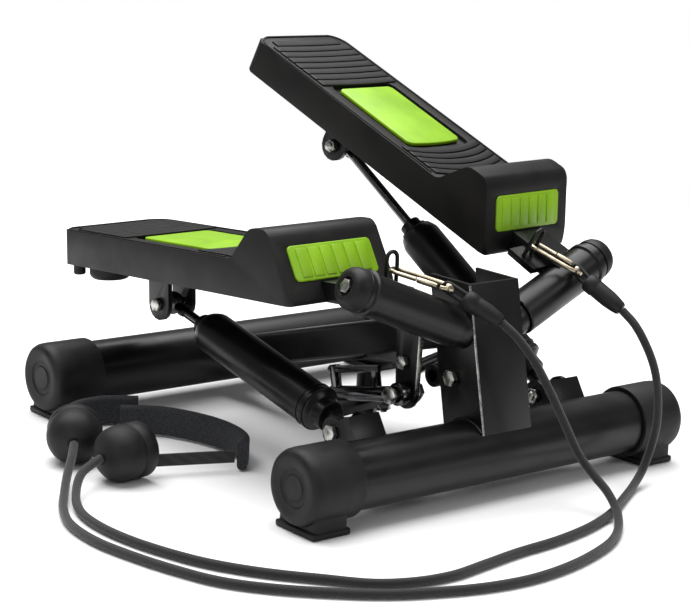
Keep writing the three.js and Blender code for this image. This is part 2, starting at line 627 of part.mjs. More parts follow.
// ---------------------------------------------------------------- exercise bands
// Each band hangs from its pedal's eye on a snap hook and ends in a handle on the floor.
// Hooks and boots are given beside the left pedal, lowered; cords and handles where they lie.
const BANDS = {
  left: {
    hookStart: [-61.5, -121.5, 168],
    hookEnd: [-44.5, -151, 161.5],
    bootStart: [-37, -167, 155],
    bootEnd: [-21, -190, 140],
    cord: [
      [-20.6, -190.6, 139.6], [-13, -199.5, 130], [-2, -208, 113], [10, -215, 90], [22, -222, 64],
      [32, -230, 40], [38, -240, 27], [38, -255, 18], [32, -271, 9], [17, -287, 3.8],
      [-8, -304, 3.7], [-38, -316, 3.7], [-75, -325, 3.7], [-113, -328, 3.7], [-150, -323, 3.7],
      [-183, -312, 3.7], [-213, -298, 3.7], [-243, -276, 3.7], [-271, -250, 3.7],
      [-292, -222, 3.7], [-305, -188, 3.7], [-314, -152, 3.7], [-319, -115, 3.7],
      [-315, -78, 3.7], [-302, -48, 3.7], [-285, -22, 4.5], [-269, 0, 9], [-255, 16, 17],
      [-243.9, 30.6, 21.8],
    ],
  },
  right: {
    hookStart: [-72.5, -121.5, 167],
    hookEnd: [-78.5, -151.4, 170],
    bootStart: [-78, -168, 169.5],
    bootEnd: [-82, -203, 168],
    cord: [
      [93.5, -205, 139.6], [98, -215, 130], [103, -223, 116], [110, -228, 97], [117, -228, 74],
      [122, -225, 50], [122, -221, 29], [114, -221, 12], [97, -228, 4.6], [70, -243, 3.7],
      [38, -261, 3.7], [0, -275, 3.7], [-42, -283, 3.7], [-84, -286, 3.7], [-120, -291, 3.7],
      [-153, -295, 3.7], [-182, -291, 3.7], [-208, -279, 3.7], [-232, -254, 3.7],
      [-258, -224, 3.7], [-278, -192, 3.7], [-290, -160, 3.7], [-298, -125, 3.7],
      [-300, -90, 3.7], [-295, -60, 3.9], [-284, -36, 7], [-268, -18, 16], [-246.4, -9.3, 21.8],
    ],
  },
};
const HANDLES = {
  left: {
    mouth: [-243, 32, 21.8],
    back: [-222, 64, 21.8],
    grip: [[-211, 86, 13], [-203, 106, 13], [-183, 122, 13], [-156, 124, 13], [-132, 110, 13]],
    webbing: [[-222, 64, 12], [-211.2, 85.5, 12]],
  },
  right: {
    mouth: [-245, -9, 21.8],
    back: [-206, -3, 21.8],
    grip: [
      [-133, -34, 13], [-119, -17, 13], [-113, 12, 13], [-118, 44, 13], [-134, 76, 13],
      [-160, 94, 13],
    ],
    webbing: [[-207, -4, 12], [-137.5, -30, 12]],
  },
};
const vector = (point) => new THREE.Vector3(...point);
const smooth = (points) => new THREE.CatmullRomCurve3(points, false, 'centripetal');

// Half a turn of a wire link, open towards +Z, drawn in the plane of X and Z.
function linkTurn(radius, length, firstDegrees = 180) {
  const route = [new THREE.Vector3(-radius, 0, length)];
  for (let degrees = firstDegrees; degrees <= 360; degrees += 22.5) {
    const angle = THREE.MathUtils.degToRad(degrees);
    route.push(new THREE.Vector3(radius * Math.cos(angle), 0, radius * Math.sin(angle)));
  }
  return route;
}

function buildHookAndBoot(side, group) {
  const hand = side > 0 ? 'left' : 'right';
  const band = BANDS[hand];
  const [start, end] = [vector(band.hookStart), vector(band.hookEnd)];
  const half = 6;
  const length = start.distanceTo(end);
  const near = linkTurn(half, length * 0.45);
  const far = linkTurn(half, 0).map((p) => new THREE.Vector3(-p.x, 0, length - p.z));
  far.shift();
  const gate = new THREE.Vector3(-half, 0, length * 0.45 + GAP);
  const hook = wire(smooth([...near, ...far, gate]), EYE_WIRE, 28, 6);
  const across = new THREE.Vector3(0.9, 0.42, 0);
  add(group, `${hand}_snap_hook`, aimed(hook, start, end, across), snapMetal(), side);

  const [from, to] = [vector(band.bootStart), vector(band.bootEnd)];
  const reach = from.distanceTo(to);
  const boot = turned([
    [0, 0], [5, 0], [7.5, 3], [7.5, 9], [7, 10], [7, reach - 12], [5.8, reach - 2],
    [5, reach], [0, reach],
  ], 12);
  const loopRadius = 3.4;
  const apex = end.clone().addScaledVector(end.clone().sub(start).normalize(), half - loopRadius / 2);
  const loopRoute = linkTurn(loopRadius, apex.distanceTo(from) + 3);
  loopRoute.push(new THREE.Vector3(loopRadius, 0, apex.distanceTo(from) + 3));
  const loop = wire(smooth(loopRoute), 1.3, 14, 6);
  const upright = new THREE.Vector3(0, 0, 1);
  const piece = join(aimed(boot, from, to), aimed(loop, apex, from, upright));
  add(group, `${hand}_band_boot`, piece, rubberBlack(), side);
}

function buildCordAndHandle(hand) {
  const cord = wire(smooth(BANDS[hand].cord.map(vector)), CORD_RADIUS, CORD_STEPS, 8);
  add(stepper, `${hand}_band_cord`, cord, braid());

  const handle = HANDLES[hand];
  const [mouth, back] = [vector(handle.mouth), vector(handle.back)];
  const length = mouth.distanceTo(back);
  const bell = turned([
    [0, 0], [6, 0], [15, 4], [20, 11], [21.5, 18], [21.5, 26], [19, 27], [21, 28],
    [21, length], [0, length],
  ], 18);
  const strip = (section, points, steps) =>
    new THREE.ExtrudeGeometry(section, {
      steps,
      extrudePath: smooth(points.map(vector)),
      curveSegments: 1,
    });
  const webbing = strip(roundedRectangle(10, 2.6, 0.6), handle.webbing, 1);
  add(stepper, `${hand}_handle_bell`, join(aimed(bell, mouth, back), webbing), rubberBlack());
  const grip = strip(roundedRectangle(24, 8, 3), handle.grip, 16);
  add(stepper, `${hand}_handle_grip`, grip, foam());
}

// ---------------------------------------------------------------- assembly
function buildSide(side) {
  const pivot = mirrorPoint(PIVOT_OUTER, side);
  const raised = new THREE.Group();
  raised.position.copy(pivot);
  const axis = new THREE.Vector3(pivotAxis.x, pivotAxis.y * side, pivotAxis.z * side);
  const stroke = side > 0 ? 0 : PEDAL_STROKE;
  raised.quaternion.setFromAxisAngle(axis, stroke);
  const lowered = new THREE.Group();
  lowered.position.copy(pivot).negate();
  raised.add(lowered);
  stepper.add(raised);
  buildPedal(side, lowered);
  buildHookAndBoot(side, lowered);

  const top = DAMPER_TOP_ON_DECK.clone().applyMatrix4(deckFrame);
  const carried = (point) =>
    mirrorPoint(point, side).sub(pivot).applyAxisAngle(axis, stroke).add(pivot);
  buildDamper(side, carried(top));
  const ball = new THREE.Vector3(LINK_REAR.x * side, LINK_REAR.y, LINK_REAR.z);
  if (side < 0) ball.y = 2 * ROCKER_CENTRE.y - LINK_REAR.y;
  const pinAxis = new THREE.Vector3(1, 0, 0).applyAxisAngle(axis, stroke);
  buildLink(side > 0 ? 'left' : 'right', carried(LEVER_PIN), ball, pinAxis);
  buildFork(side);
  buildShaft(side);
}

buildBase();
buildPost();
buildRocker();
for (const side of [1, -1]) buildSide(side);
for (const hand of ['left', 'right']) buildCordAndHandle(hand);

export default stepper;
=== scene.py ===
# %% [markdown]
# # A twist mini stepper with two exercise bands
# The imported model is the frame that every piece here sits on.

# %% Load the imported model
import json
import math

import bmesh
import bpy
from mathutils import Matrix, Vector

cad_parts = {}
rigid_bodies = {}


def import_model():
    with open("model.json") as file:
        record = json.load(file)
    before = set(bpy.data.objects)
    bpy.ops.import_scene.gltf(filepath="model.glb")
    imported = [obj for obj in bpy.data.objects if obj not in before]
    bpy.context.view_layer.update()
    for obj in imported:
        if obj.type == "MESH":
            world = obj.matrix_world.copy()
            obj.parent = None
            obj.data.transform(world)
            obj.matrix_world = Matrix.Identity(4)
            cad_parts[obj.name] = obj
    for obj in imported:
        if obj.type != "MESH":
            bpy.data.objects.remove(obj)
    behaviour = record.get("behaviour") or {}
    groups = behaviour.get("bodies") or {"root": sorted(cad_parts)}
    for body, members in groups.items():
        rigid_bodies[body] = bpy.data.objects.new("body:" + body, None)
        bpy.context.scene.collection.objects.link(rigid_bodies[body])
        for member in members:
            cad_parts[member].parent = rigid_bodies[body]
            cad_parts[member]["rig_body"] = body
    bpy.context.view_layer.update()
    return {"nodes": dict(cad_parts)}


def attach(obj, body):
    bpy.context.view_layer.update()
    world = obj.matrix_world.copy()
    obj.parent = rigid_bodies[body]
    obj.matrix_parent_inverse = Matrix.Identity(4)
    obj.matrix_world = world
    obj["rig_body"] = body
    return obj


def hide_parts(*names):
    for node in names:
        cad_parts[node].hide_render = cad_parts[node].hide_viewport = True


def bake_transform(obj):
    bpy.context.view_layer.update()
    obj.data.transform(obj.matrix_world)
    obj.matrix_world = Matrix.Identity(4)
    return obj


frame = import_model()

nodes = frame["nodes"]
print("nodes loaded:", len(nodes))

# %% [markdown]
# ## One frame for every measurement
# A maker's drawing of this machine is in millimetres from the middle of the base. The
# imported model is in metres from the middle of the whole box, handles included. One matrix
# takes a drawing point to its place, so every number below is a length one could measure.

# %% Drawing millimetres to model metres
DRAWING_ORIGIN = Vector((-31.22, 0.45, 0))
TO_MODEL = Matrix.Scale(0.001, 4) @ Matrix.Translation(-DRAWING_ORIGIN)


def at(x, y, z):
    return TO_MODEL @ Vector((x, y, z))


print("the drawing's origin stands at", [round(v, 5) for v in at(0, 0, 0)])

# %% [markdown]
# ## Camera
# The machine is seen from its front left corner, a little above the pedals, with a long
# lens. The camera is aimed by its turn and height around a target, then rolled slightly.

# %% Camera
TARGET = at(7.333, 18.989, 105.799)
DISTANCE = 1.64866
AZIMUTH, ELEVATION, ROLL = (math.radians(v) for v in (-40.452, 12.824, 3.106))

back = Vector((
    math.sin(AZIMUTH) * math.cos(ELEVATION),
    -math.cos(AZIMUTH) * math.cos(ELEVATION),
    math.sin(ELEVATION),
))
level = Vector((0, 0, 1)).cross(back).normalized()
upright = back.cross(level)
across = level * math.cos(ROLL) + upright * math.sin(ROLL)
above = upright * math.cos(ROLL) - level * math.sin(ROLL)
camera_data = bpy.data.cameras.new("studio_camera")
camera_data.sensor_fit = "HORIZONTAL"
camera_data.sensor_width = 36
camera_data.lens = 104.77
camera = bpy.data.objects.new("studio_camera", camera_data)
bpy.context.scene.collection.objects.link(camera)
turn = Matrix((across, above, back)).transposed().to_4x4()
camera.matrix_world = Matrix.Translation(TARGET + back * DISTANCE) @ turn
bpy.context.scene.camera = camera
print("camera stands at", [round(v, 3) for v in camera.matrix_world.translation])

# %% [markdown]
# ## Colours and one helper for nodes
# Colours are picked as they look on a screen, so one function turns each to the linear
# values that a shader works in. Another adds a node of any kind, sets it and wires it up,
# and every finish below is made with it. A pattern's scale comes from its size in
# millimetres: the real size where it shows, and a coarser one where it would be lost.

# %% Colour and node helpers


def linear(code):
    parts = [int(code[i:i + 2], 16) / 255 for i in (1, 3, 5)]
    return [v / 12.92 if v <= 0.04045 else ((v + 0.055) / 1.055) ** 2.4 for v in parts] + [1]


def wire(tree, node, links):
    """Gives each named input of a node its source."""
    for name, source in links.items():
        tree.links.new(source, node.inputs[name])


def add(tree, kind, settings=None, links=None):
    """Adds a node. A setting names a property, an input or the stops of a colour ramp."""
    node = tree.nodes.new(kind)
    for name, value in (settings or {}).items():
        if name == "stops":
            for stop, (position, colour) in zip(node.color_ramp.elements, value):
                stop.position, stop.color = position, colour
        elif isinstance(name, int) or name in node.inputs:
            node.inputs[name].default_value = value
        else:
            setattr(node, name, value)
    wire(tree, node, links or {})
    return node


def new_finish(name, roughness, metallic=0.0, shine=0.5):
    material = bpy.data.materials.new(name)
    material.use_nodes = True
    tree = material.node_tree
    shader = tree.nodes["Principled BSDF"]
    shader.inputs["Roughness"].default_value = roughness
    shader.inputs["Metallic"].default_value = metallic
    shader.inputs["Specular IOR Level"].default_value = shine
    place = add(tree, "ShaderNodeTexCoord").outputs["Object"]
    return material, tree, shader, place


# millimetres in a metre, and so the scale of a pattern that repeats every millimetre
PER_METRE = 1000


def grey(value):
    return (value, value, value, 1)


print("one millimetre is a pattern scale of", PER_METRE)

# %% [markdown]
# ## Powder-coated steel
# Black polyester powder is sprayed on and baked. It flows into a faint orange peel about
# two millimetres across, and collects a little dust in patches of about four centimetres,
# which shows as an uneven gloss.

# %% Powder coat
powder_coat, tree, shader, place = new_finish("black_powder_coat", 0.36, shine=0.3)
dust = add(tree, "ShaderNodeTexNoise", {"Scale": PER_METRE / 38, "Detail": 5.0}, {"Vector": place})
peel = add(tree, "ShaderNodeTexNoise", {"Scale": PER_METRE / 2.2, "Detail": 2.0}, {"Vector": place})
tone = add(
    tree, "ShaderNodeValToRGB",
    {"stops": ((0.3, linear("#050506")), (0.7, linear("#0c0c0d")))},
    {"Fac": dust.outputs["Fac"]},
)
gloss = add(
    tree, "ShaderNodeValToRGB",
    {"stops": ((0.3, grey(0.30)), (0.7, grey(0.44)))},
    {"Fac": dust.outputs["Fac"]},
)
relief = add(
    tree, "ShaderNodeBump", {"Strength": 0.16, "Distance": 0.0003},
    {"Height": peel.outputs["Fac"]},
)
wire(tree, shader, {
    "Base Color": tone.outputs["Color"], "Roughness": gloss.outputs["Color"],
    "Normal": relief.outputs["Normal"],
})
shader.inputs["Coat Weight"].default_value = 0.08
shader.inputs["Coat Roughness"].default_value = 0.25
print("finish:", powder_coat.name)

# %% [markdown]
# ## Moulded black polypropylene
# The pedal decks are injection moulded in a spark-eroded tool, which leaves a fine grain.
# Real grain is about 0.2 mm; it is drawn at 0.9 mm, because nothing finer shows. Shoes
# leave a warm grey scuff on the high places.

# %% Moulded plastic
moulded_plastic, tree, shader, place = new_finish("black_moulded_polypropylene", 0.5, shine=0.26)
grain = add(
    tree, "ShaderNodeTexNoise", {"Scale": PER_METRE / 0.9, "Detail": 3.0}, {"Vector": place}
)
scuff = add(tree, "ShaderNodeTexNoise", {"Scale": PER_METRE / 25, "Detail": 6.0}, {"Vector": place})
tone = add(
    tree, "ShaderNodeValToRGB",
    {"stops": ((0.3, linear("#0a0a0a")), (0.7, linear("#161413")))},
    {"Fac": scuff.outputs["Fac"]},
)
gloss = add(
    tree, "ShaderNodeValToRGB",
    {"stops": ((0.3, grey(0.42)), (0.7, grey(0.56)))},
    {"Fac": scuff.outputs["Fac"]},
)
relief = add(
    tree, "ShaderNodeBump", {"Strength": 0.22, "Distance": 0.0002},
    {"Height": grain.outputs["Fac"]},
)
wire(tree, shader, {
    "Base Color": tone.outputs["Color"], "Roughness": gloss.outputs["Color"],
    "Normal": relief.outputs["Normal"],
})
print("finish:", moulded_plastic.name)

# %% [markdown]
# ## Moulded rubber
# The end caps, boots, heel stops and handle bells are soft black rubber. It is nearly matt,
# with a faint grey bloom where it has been handled.

# %% Rubber
moulded_rubber, tree, shader, place = new_finish("black_moulded_rubber", 0.62, shine=0.32)
bloom = add(tree, "ShaderNodeTexNoise", {"Scale": PER_METRE / 14, "Detail": 7.0}, {"Vector": place})
skin = add(tree, "ShaderNodeTexNoise", {"Scale": PER_METRE / 1.1, "Detail": 2.0}, {"Vector": place})
tone = add(
    tree, "ShaderNodeValToRGB",
    {"stops": ((0.35, linear("#0a0a0b")), (0.75, linear("#171718")))},
    {"Fac": bloom.outputs["Fac"]},
)
gloss = add(
    tree, "ShaderNodeValToRGB",
    {"stops": ((0.3, grey(0.48)), (0.7, grey(0.66)))},
    {"Fac": bloom.outputs["Fac"]},
)
relief = add(
    tree, "ShaderNodeBump", {"Strength": 0.2, "Distance": 0.0002},
    {"Height": skin.outputs["Fac"]},
)
wire(tree, shader, {
    "Base Color": tone.outputs["Color"], "Roughness": gloss.outputs["Color"],
    "Normal": relief.outputs["Normal"],
})
print("finish:", moulded_rubber.name)

# %% [markdown]
# ## Lime green polypropylene
# The inserts are the same moulding in a bright pigment. A cloudy change of tone comes from
# the pigment's flow, and a fine satin grain keeps the highlights soft.

# %% Lime green
lime_plastic, tree, shader, place = new_finish("lime_moulded_polypropylene", 0.42)
flow = add(tree, "ShaderNodeTexNoise", {"Scale": PER_METRE / 30, "Detail": 4.0}, {"Vector": place})
satin = add(
    tree, "ShaderNodeTexNoise", {"Scale": PER_METRE / 1.3, "Detail": 2.0}, {"Vector": place}
)
tone = add(
    tree, "ShaderNodeValToRGB",
    {"stops": ((0.3, linear("#7aa905")), (0.7, linear("#90c108")))},
    {"Fac": flow.outputs["Fac"]},
)
relief = add(
    tree, "ShaderNodeBump", {"Strength": 0.15, "Distance": 0.0002},
    {"Height": satin.outputs["Fac"]},
)
wire(tree, shader, {
    "Base Color": tone.outputs["Color"], "Normal": relief.outputs["Normal"],
})
print("finish:", lime_plastic.name)

# %% [markdown]
# ## Zinc plate, worn nickel and dark chrome
# Bolts are turned steel with thin zinc plate, slightly clouded. The snap hooks are nickel
# plated and have yellowed a little with handling. The dampers' rods and the links have a
# smoother and darker chrome. All three are one recipe with other colours and gloss.

# %% Plated metals


def plated(name, low, high, smooth, rough):
    material, tree, shader, place = new_finish(name, smooth, 1.0)
    cloud = add(
        tree, "ShaderNodeTexNoise", {"Scale": PER_METRE / 6, "Detail": 6.0}, {"Vector": place}
    )
    turning = add(
        tree, "ShaderNodeTexNoise", {"Scale": PER_METRE / 0.8, "Detail": 2.0}, {"Vector": place}
    )
    tone = add(
        tree, "ShaderNodeValToRGB",
        {"stops": ((0.3, linear(low)), (0.7, linear(high)))},
        {"Fac": cloud.outputs["Fac"]},
    )
    gloss = add(
        tree, "ShaderNodeValToRGB",
        {"stops": ((0.3, grey(smooth)), (0.7, grey(rough)))},
        {"Fac": cloud.outputs["Fac"]},
    )
    relief = add(
        tree, "ShaderNodeBump", {"Strength": 0.05, "Distance": 0.0001},
        {"Height": turning.outputs["Fac"]},
    )
    wire(tree, shader, {
        "Base Color": tone.outputs["Color"], "Roughness": gloss.outputs["Color"],
        "Normal": relief.outputs["Normal"],
    })
    return material


zinc_plate = plated("bright_zinc_plated_steel", "#a9a9a6", "#d2d1cb", 0.2, 0.36)
worn_nickel = plated("worn_nickel_plated_steel", "#8d836f", "#c8bda6", 0.22, 0.42)
dark_chrome = plated("dark_chrome_plated_steel", "#5c5c5e", "#77777a", 0.14, 0.26)
print("finishes:", zinc_plate.name, worn_nickel.name, dark_chrome.name)

# %% [markdown]
# ## Braided sleeve
# Each latex cord runs in a woven black sleeve. Two sets of yarns cross on a slant. The
# pattern follows the tube's own map, one way along it and one way round it. Real yarns are
# under a millimetre wide; they are drawn 2 mm wide so that they show.

# %% Braid
CORD_DIAMETER = 0.0066
YARN = 0.002


def braid_finish(name, length):
    material, tree, shader, _ = new_finish(name, 0.6, shine=0.3)
    around = math.pi * CORD_DIAMETER
    mapped = add(tree, "ShaderNodeTexCoord").outputs["UV"]
    yarns = []
    for slant in (1, -1):
        turned_map = add(
            tree, "ShaderNodeMapping",
            {"Scale": (length / YARN, round(around / YARN) * slant, 1)}, {"Vector": mapped},
        )
        parts = add(tree, "ShaderNodeSeparateXYZ", links={"Vector": turned_map.outputs["Vector"]})
        phase = add(
            tree, "ShaderNodeMath", {"operation": "ADD"},
            {0: parts.outputs["X"], 1: parts.outputs["Y"]},
        )
        turns = add(
            tree, "ShaderNodeMath", {"operation": "MULTIPLY", 1: math.tau},
            {0: phase.outputs["Value"]},
        )
        yarns.append(
            add(tree, "ShaderNodeMath", {"operation": "SINE"}, {0: turns.outputs["Value"]})
        )
    crossing = add(
        tree, "ShaderNodeMath", {"operation": "MAXIMUM"},
        {0: yarns[0].outputs["Value"], 1: yarns[1].outputs["Value"]},
    )
    tone = add(
        tree, "ShaderNodeValToRGB",
        {"stops": ((0.1, linear("#040404")), (0.95, linear("#131315")))},
        {"Fac": crossing.outputs["Value"]},
    )
    relief = add(
        tree, "ShaderNodeBump", {"Strength": 0.5, "Distance": 0.0004},
        {"Height": crossing.outputs["Value"]},
    )
    wire(tree, shader, {
        "Base Color": tone.outputs["Color"], "Normal": relief.outputs["Normal"],
    })
    shader.inputs["Sheen Weight"].default_value = 0.25
    return material


print("yarns round the cord:", round(math.pi * CORD_DIAMETER / YARN))

# %% [markdown]
# ## Foam and webbing for the handles
# The grips are closed-cell foam, dark grey, full of fine pores. Real pores are about half a
# millimetre; they are drawn 1.8 mm across so that they show. The straps beside them are
# nylon webbing. The wave node's slanted bands repeat every 0.63 of its unit along an axis,
# so a unit of 12.6 mm draws a rib every 8 mm.

# %% Foam and webbing
grip_foam, tree, shader, place = new_finish("dark_grey_closed_cell_foam", 0.85)
pores = add(tree, "ShaderNodeTexVoronoi", {"Scale": PER_METRE / 1.8}, {"Vector": place})
tone = add(
    tree, "ShaderNodeValToRGB",
    {"stops": ((0.1, linear("#101113")), (0.6, linear("#2a2b2f")))},
    {"Fac": pores.outputs["Distance"]},
)
relief = add(
    tree, "ShaderNodeBump", {"Strength": 0.35, "Distance": 0.0004},
    {"Height": pores.outputs["Distance"]},
)
wire(tree, shader, {
    "Base Color": tone.outputs["Color"], "Normal": relief.outputs["Normal"],
})

WEAVE_UNIT = 12.6
strap_nylon, tree, shader, place = new_finish("black_woven_nylon_webbing", 0.7)
ribs = add(
    tree, "ShaderNodeTexWave",
    {"Scale": PER_METRE / WEAVE_UNIT, "wave_type": "BANDS", "bands_direction": "DIAGONAL"},
    {"Vector": place},
)
tone = add(
    tree, "ShaderNodeValToRGB",
    {"stops": ((0.3, linear("#0a0a0b")), (0.7, linear("#1e1e20")))},
    {"Fac": ribs.outputs["Fac"]},
)
relief = add(
    tree, "ShaderNodeBump", {"Strength": 0.4, "Distance": 0.0003},
    {"Height": ribs.outputs["Fac"]},
)
wire(tree, shader, {
    "Base Color": tone.outputs["Color"], "Normal": relief.outputs["Normal"],
})
shader.inputs["Sheen Weight"].default_value = 0.2
print("finishes:", grip_foam.name, strap_nylon.name)

# %% [markdown]
# ## Placing and keeping pieces
# Every piece is built in drawing millimetres near the origin, carried to its place by one
# matrix, and left as a mesh whose object sits at the origin. A mirrored matrix turns a
# shape inside out, so its faces are flipped back. Faces that meet at less than 32 degrees
# are shaded as one smooth surface.

# %% Place and keep
SMOOTH_BELOW = 32


def carry(bm, matrix):
    """Moves a shape by a matrix, with its faces still pointing outwards."""
    bm.transform(matrix)
    if matrix.determinant() < 0:
        bmesh.ops.reverse_faces(bm, faces=bm.faces)


def keep_mesh(mesh, name, finish, body, stands_for=()):
    mesh.name = name
    mesh.materials.clear()
    mesh.materials.append(finish)
    mesh.shade_smooth()
    mesh.set_sharp_from_angle(angle=math.radians(SMOOTH_BELOW))
    piece = bpy.data.objects.new(name, mesh)
    bpy.context.scene.collection.objects.link(piece)
    if body:
        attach(piece, body)
    if stands_for:
        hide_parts(*stands_for)
    return piece


def keep(bm, name, finish, body, stands_for=(), matrix=Matrix(), in_model=False):
    if not in_model:
        carry(bm, TO_MODEL @ matrix)
    mesh = bpy.data.meshes.new(name)
    bm.to_mesh(mesh)
    bm.free()
    return keep_mesh(mesh, name, finish, body, stands_for)


print("faces are smooth below", SMOOTH_BELOW, "degrees")

# %% [markdown]
# ## Smooth lines
# Wires, cords and straps all follow a smooth line through a few chosen points. Spacing the
# line by the root of each gap, which is called centripetal, keeps it from bulging where
# points lie close together.

# %% Smooth line and tubes


def smooth(points, per_gap=6):
    points = [Vector(p) for p in points]
    ends = [2 * points[0] - points[1]] + points + [2 * points[-1] - points[-2]]
    line = []
    for p0, p1, p2, p3 in zip(ends, ends[1:], ends[2:], ends[3:]):
        t1 = (p1 - p0).length ** 0.5
        t2 = t1 + (p2 - p1).length ** 0.5
        t3 = t2 + (p3 - p2).length ** 0.5
        for i in range(per_gap):
            t = t1 + (t2 - t1) * i / per_gap
            a1 = p0.lerp(p1, t / t1)
            a2 = p1.lerp(p2, (t - t1) / (t2 - t1))
            a3 = p2.lerp(p3, (t - t2) / (t3 - t2))
            b1 = a1.lerp(a2, t / t2)
            b2 = a2.lerp(a3, (t - t1) / (t3 - t1))
            line.append(b1.lerp(b2, (t - t1) / (t2 - t1)))
    return line + [points[-1]]


def length_of(line):
    return sum((b - a).length for a, b in zip(line, line[1:]))


def along(line, radius, matrix=Matrix(), height=0.0):
    """A round tube along a line, or a strap of a height, as a mesh in model metres."""
    place = TO_MODEL @ matrix
    data = bpy.data.curves.new("scrap", "CURVE")
    data.dimensions = "3D"
    data.twist_mode = "Z_UP" if height else "MINIMUM"
    data.bevel_depth = radius / PER_METRE
    data.extrude = max(height / 2 - radius, 0) / PER_METRE if height else 0
    data.bevel_resolution = 4
    data.use_fill_caps = True
    spline = data.splines.new("POLY")
    spline.points.add(len(line) - 1)
    for point, co in zip(spline.points, line):
        point.co = (*(place @ Vector(co)), 1)
    scrap = bpy.data.objects.new("scrap", data)
    mesh = bpy.data.meshes.new_from_object(scrap)
    bpy.data.objects.remove(scrap)
    bpy.data.curves.remove(data)
    return mesh


print("lines and tubes ready")

# %% [markdown]
# ## The two cords
# Each band is a braided elastic cord, 6.6 mm thick. It leaves the rubber boot under the
# toe, drops in front of the base, sweeps round on the floor to the left and rises into the
# bell of its handle. The listed points are on its centre line.

# %% Cords
CORDS = {
    "left": [
        [-20.6, -190.6, 139.6], [-13, -199.5, 130], [-2, -208, 113], [10, -215, 90],
        [22, -222, 64], [32, -230, 40], [38, -240, 27], [38, -255, 18], [32, -271, 9],
        [17, -287, 3.8], [-8, -304, 3.7], [-38, -316, 3.7], [-75, -325, 3.7],
        [-113, -328, 3.7], [-150, -323, 3.7], [-183, -312, 3.7], [-213, -298, 3.7],
        [-243, -276, 3.7], [-271, -250, 3.7], [-292, -222, 3.7], [-305, -188, 3.7],
        [-314, -152, 3.7], [-319, -115, 3.7], [-315, -78, 3.7], [-302, -48, 3.7],
        [-285, -22, 4.5], [-269, 0, 9], [-255, 16, 17], [-243.9, 30.6, 21.8],
    ],
    "right": [
        [93.5, -205, 139.6], [98, -215, 130], [103, -223, 116], [110, -228, 97],
        [117, -228, 74], [122, -225, 50], [122, -221, 29], [114, -221, 12], [97, -228, 4.6],
        [70, -243, 3.7], [38, -261, 3.7], [0, -275, 3.7], [-42, -283, 3.7], [-84, -286, 3.7],
        [-120, -291, 3.7], [-153, -295, 3.7], [-182, -291, 3.7], [-208, -279, 3.7],
        [-232, -254, 3.7], [-258, -224, 3.7], [-278, -192, 3.7], [-290, -160, 3.7],
        [-298, -125, 3.7], [-300, -90, 3.7], [-295, -60, 3.9], [-284, -36, 7],
        [-268, -18, 16], [-246.4, -9.3, 21.8],
    ],
}
cord_lines = {}
for hand, points in CORDS.items():
    line = smooth(points, 5)
    length = length_of(line) / PER_METRE
    mesh = along(line, CORD_DIAMETER / 2 * PER_METRE)
    finish = braid_finish(f"black_braided_sleeve_{hand}", length)
    cord = keep_mesh(mesh, f"{hand}_braided_cord", finish, None)
    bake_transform(cord)
    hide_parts(f"{hand}_band_cord")
    cord_lines[hand] = (cord, line, length)
    print(hand, "cord is", round(length, 3), "m long")

# %% [markdown]
# ## Turned shapes
# Tubes, caps, bushes and dampers are turned on a lathe, or look as if they were. Half of the
# outline is drawn as [radius, height] points and spun once round the upright axis, and then
# the points that meet on the axis or at the seam are merged. A quarter turn lays a turned
# shape across the machine, and a mirror makes the right hand of a left piece.

# %% Turning and placing


def turned(profile, steps=64):
    """A turned piece about +Z from [radius, height] points."""
    bm = bmesh.new()
    rim = [bm.verts.new((r, 0, z)) for r, z in profile]
    edges = [bm.edges.new(pair) for pair in zip(rim, rim[1:])]
    bmesh.ops.spin(
        bm, geom=rim + edges, cent=(0, 0, 0), axis=(0, 0, 1), angle=math.tau,
        steps=steps, use_merge=True,
    )
    bmesh.ops.remove_doubles(bm, verts=bm.verts, dist=0.0005)
    bmesh.ops.recalc_face_normals(bm, faces=bm.faces)
    return bm


def shift(x, y, z):
    return Matrix.Translation((x, y, z))


def spun(degrees, axis):
    return Matrix.Rotation(math.radians(degrees), 4, axis)


MIRROR = Matrix.Scale(-1, 4, (1, 0, 0))
along_x = spun(90, "Y")
print("a tube is laid across by", round(math.degrees(along_x.to_euler().y)), "degrees")

# %% [markdown]
# ## Base: floor tubes
# Two round tubes lie across the floor. They are cut from 50 mm stock with a 2 mm wall, so
# a spun ring is all they need.

# %% Floor tubes
TUBE_HEIGHT, TUBE_OFFSET, BASE_HALF = 34, 167, 191
TUBE_RADIUS, TUBE_BORE, TUBE_HALF = 25, 23, 185
for name, y in (("front", -TUBE_OFFSET), ("rear", TUBE_OFFSET)):
    tube = turned([
        (TUBE_BORE, -TUBE_HALF), (TUBE_RADIUS, -TUBE_HALF), (TUBE_RADIUS, TUBE_HALF),
        (TUBE_BORE, TUBE_HALF), (TUBE_BORE, -TUBE_HALF),
    ], 96)
    place = shift(0, y, TUBE_HEIGHT) @ along_x
    tube_name = f"{name}_floor_tube"
    piece = keep(tube, tube_name, powder_coat, "frame", [f"{name}_cross_tube"], place)
print("floor tubes made: 2, each", 2 * TUBE_HALF, "mm long")

# %% [markdown]
# ## Softened blocks, and parts joined into one
# No moulded or sawn edge is razor sharp, so every edge that turns enough gets a small
# bevel, which is what catches the light. A piece of several solid parts keeps each one's
# own closed skin in one mesh. They overlap a little, so no seam has to be cut.

# %% Soften, block and join


def soften(bm, width, segments=2, sharper_than=38):
    """Rounds every edge that turns more than an angle in degrees."""
    limit = math.radians(sharper_than)
    sharp = [e for e in bm.edges if e.is_manifold and e.calc_face_angle(0) > limit]
    bmesh.ops.bevel(
        bm, geom=sharp, offset=width, offset_type="OFFSET", affect="EDGES",
        segments=segments, profile=0.5, material=-1, clamp_overlap=True,
    )
    return bm


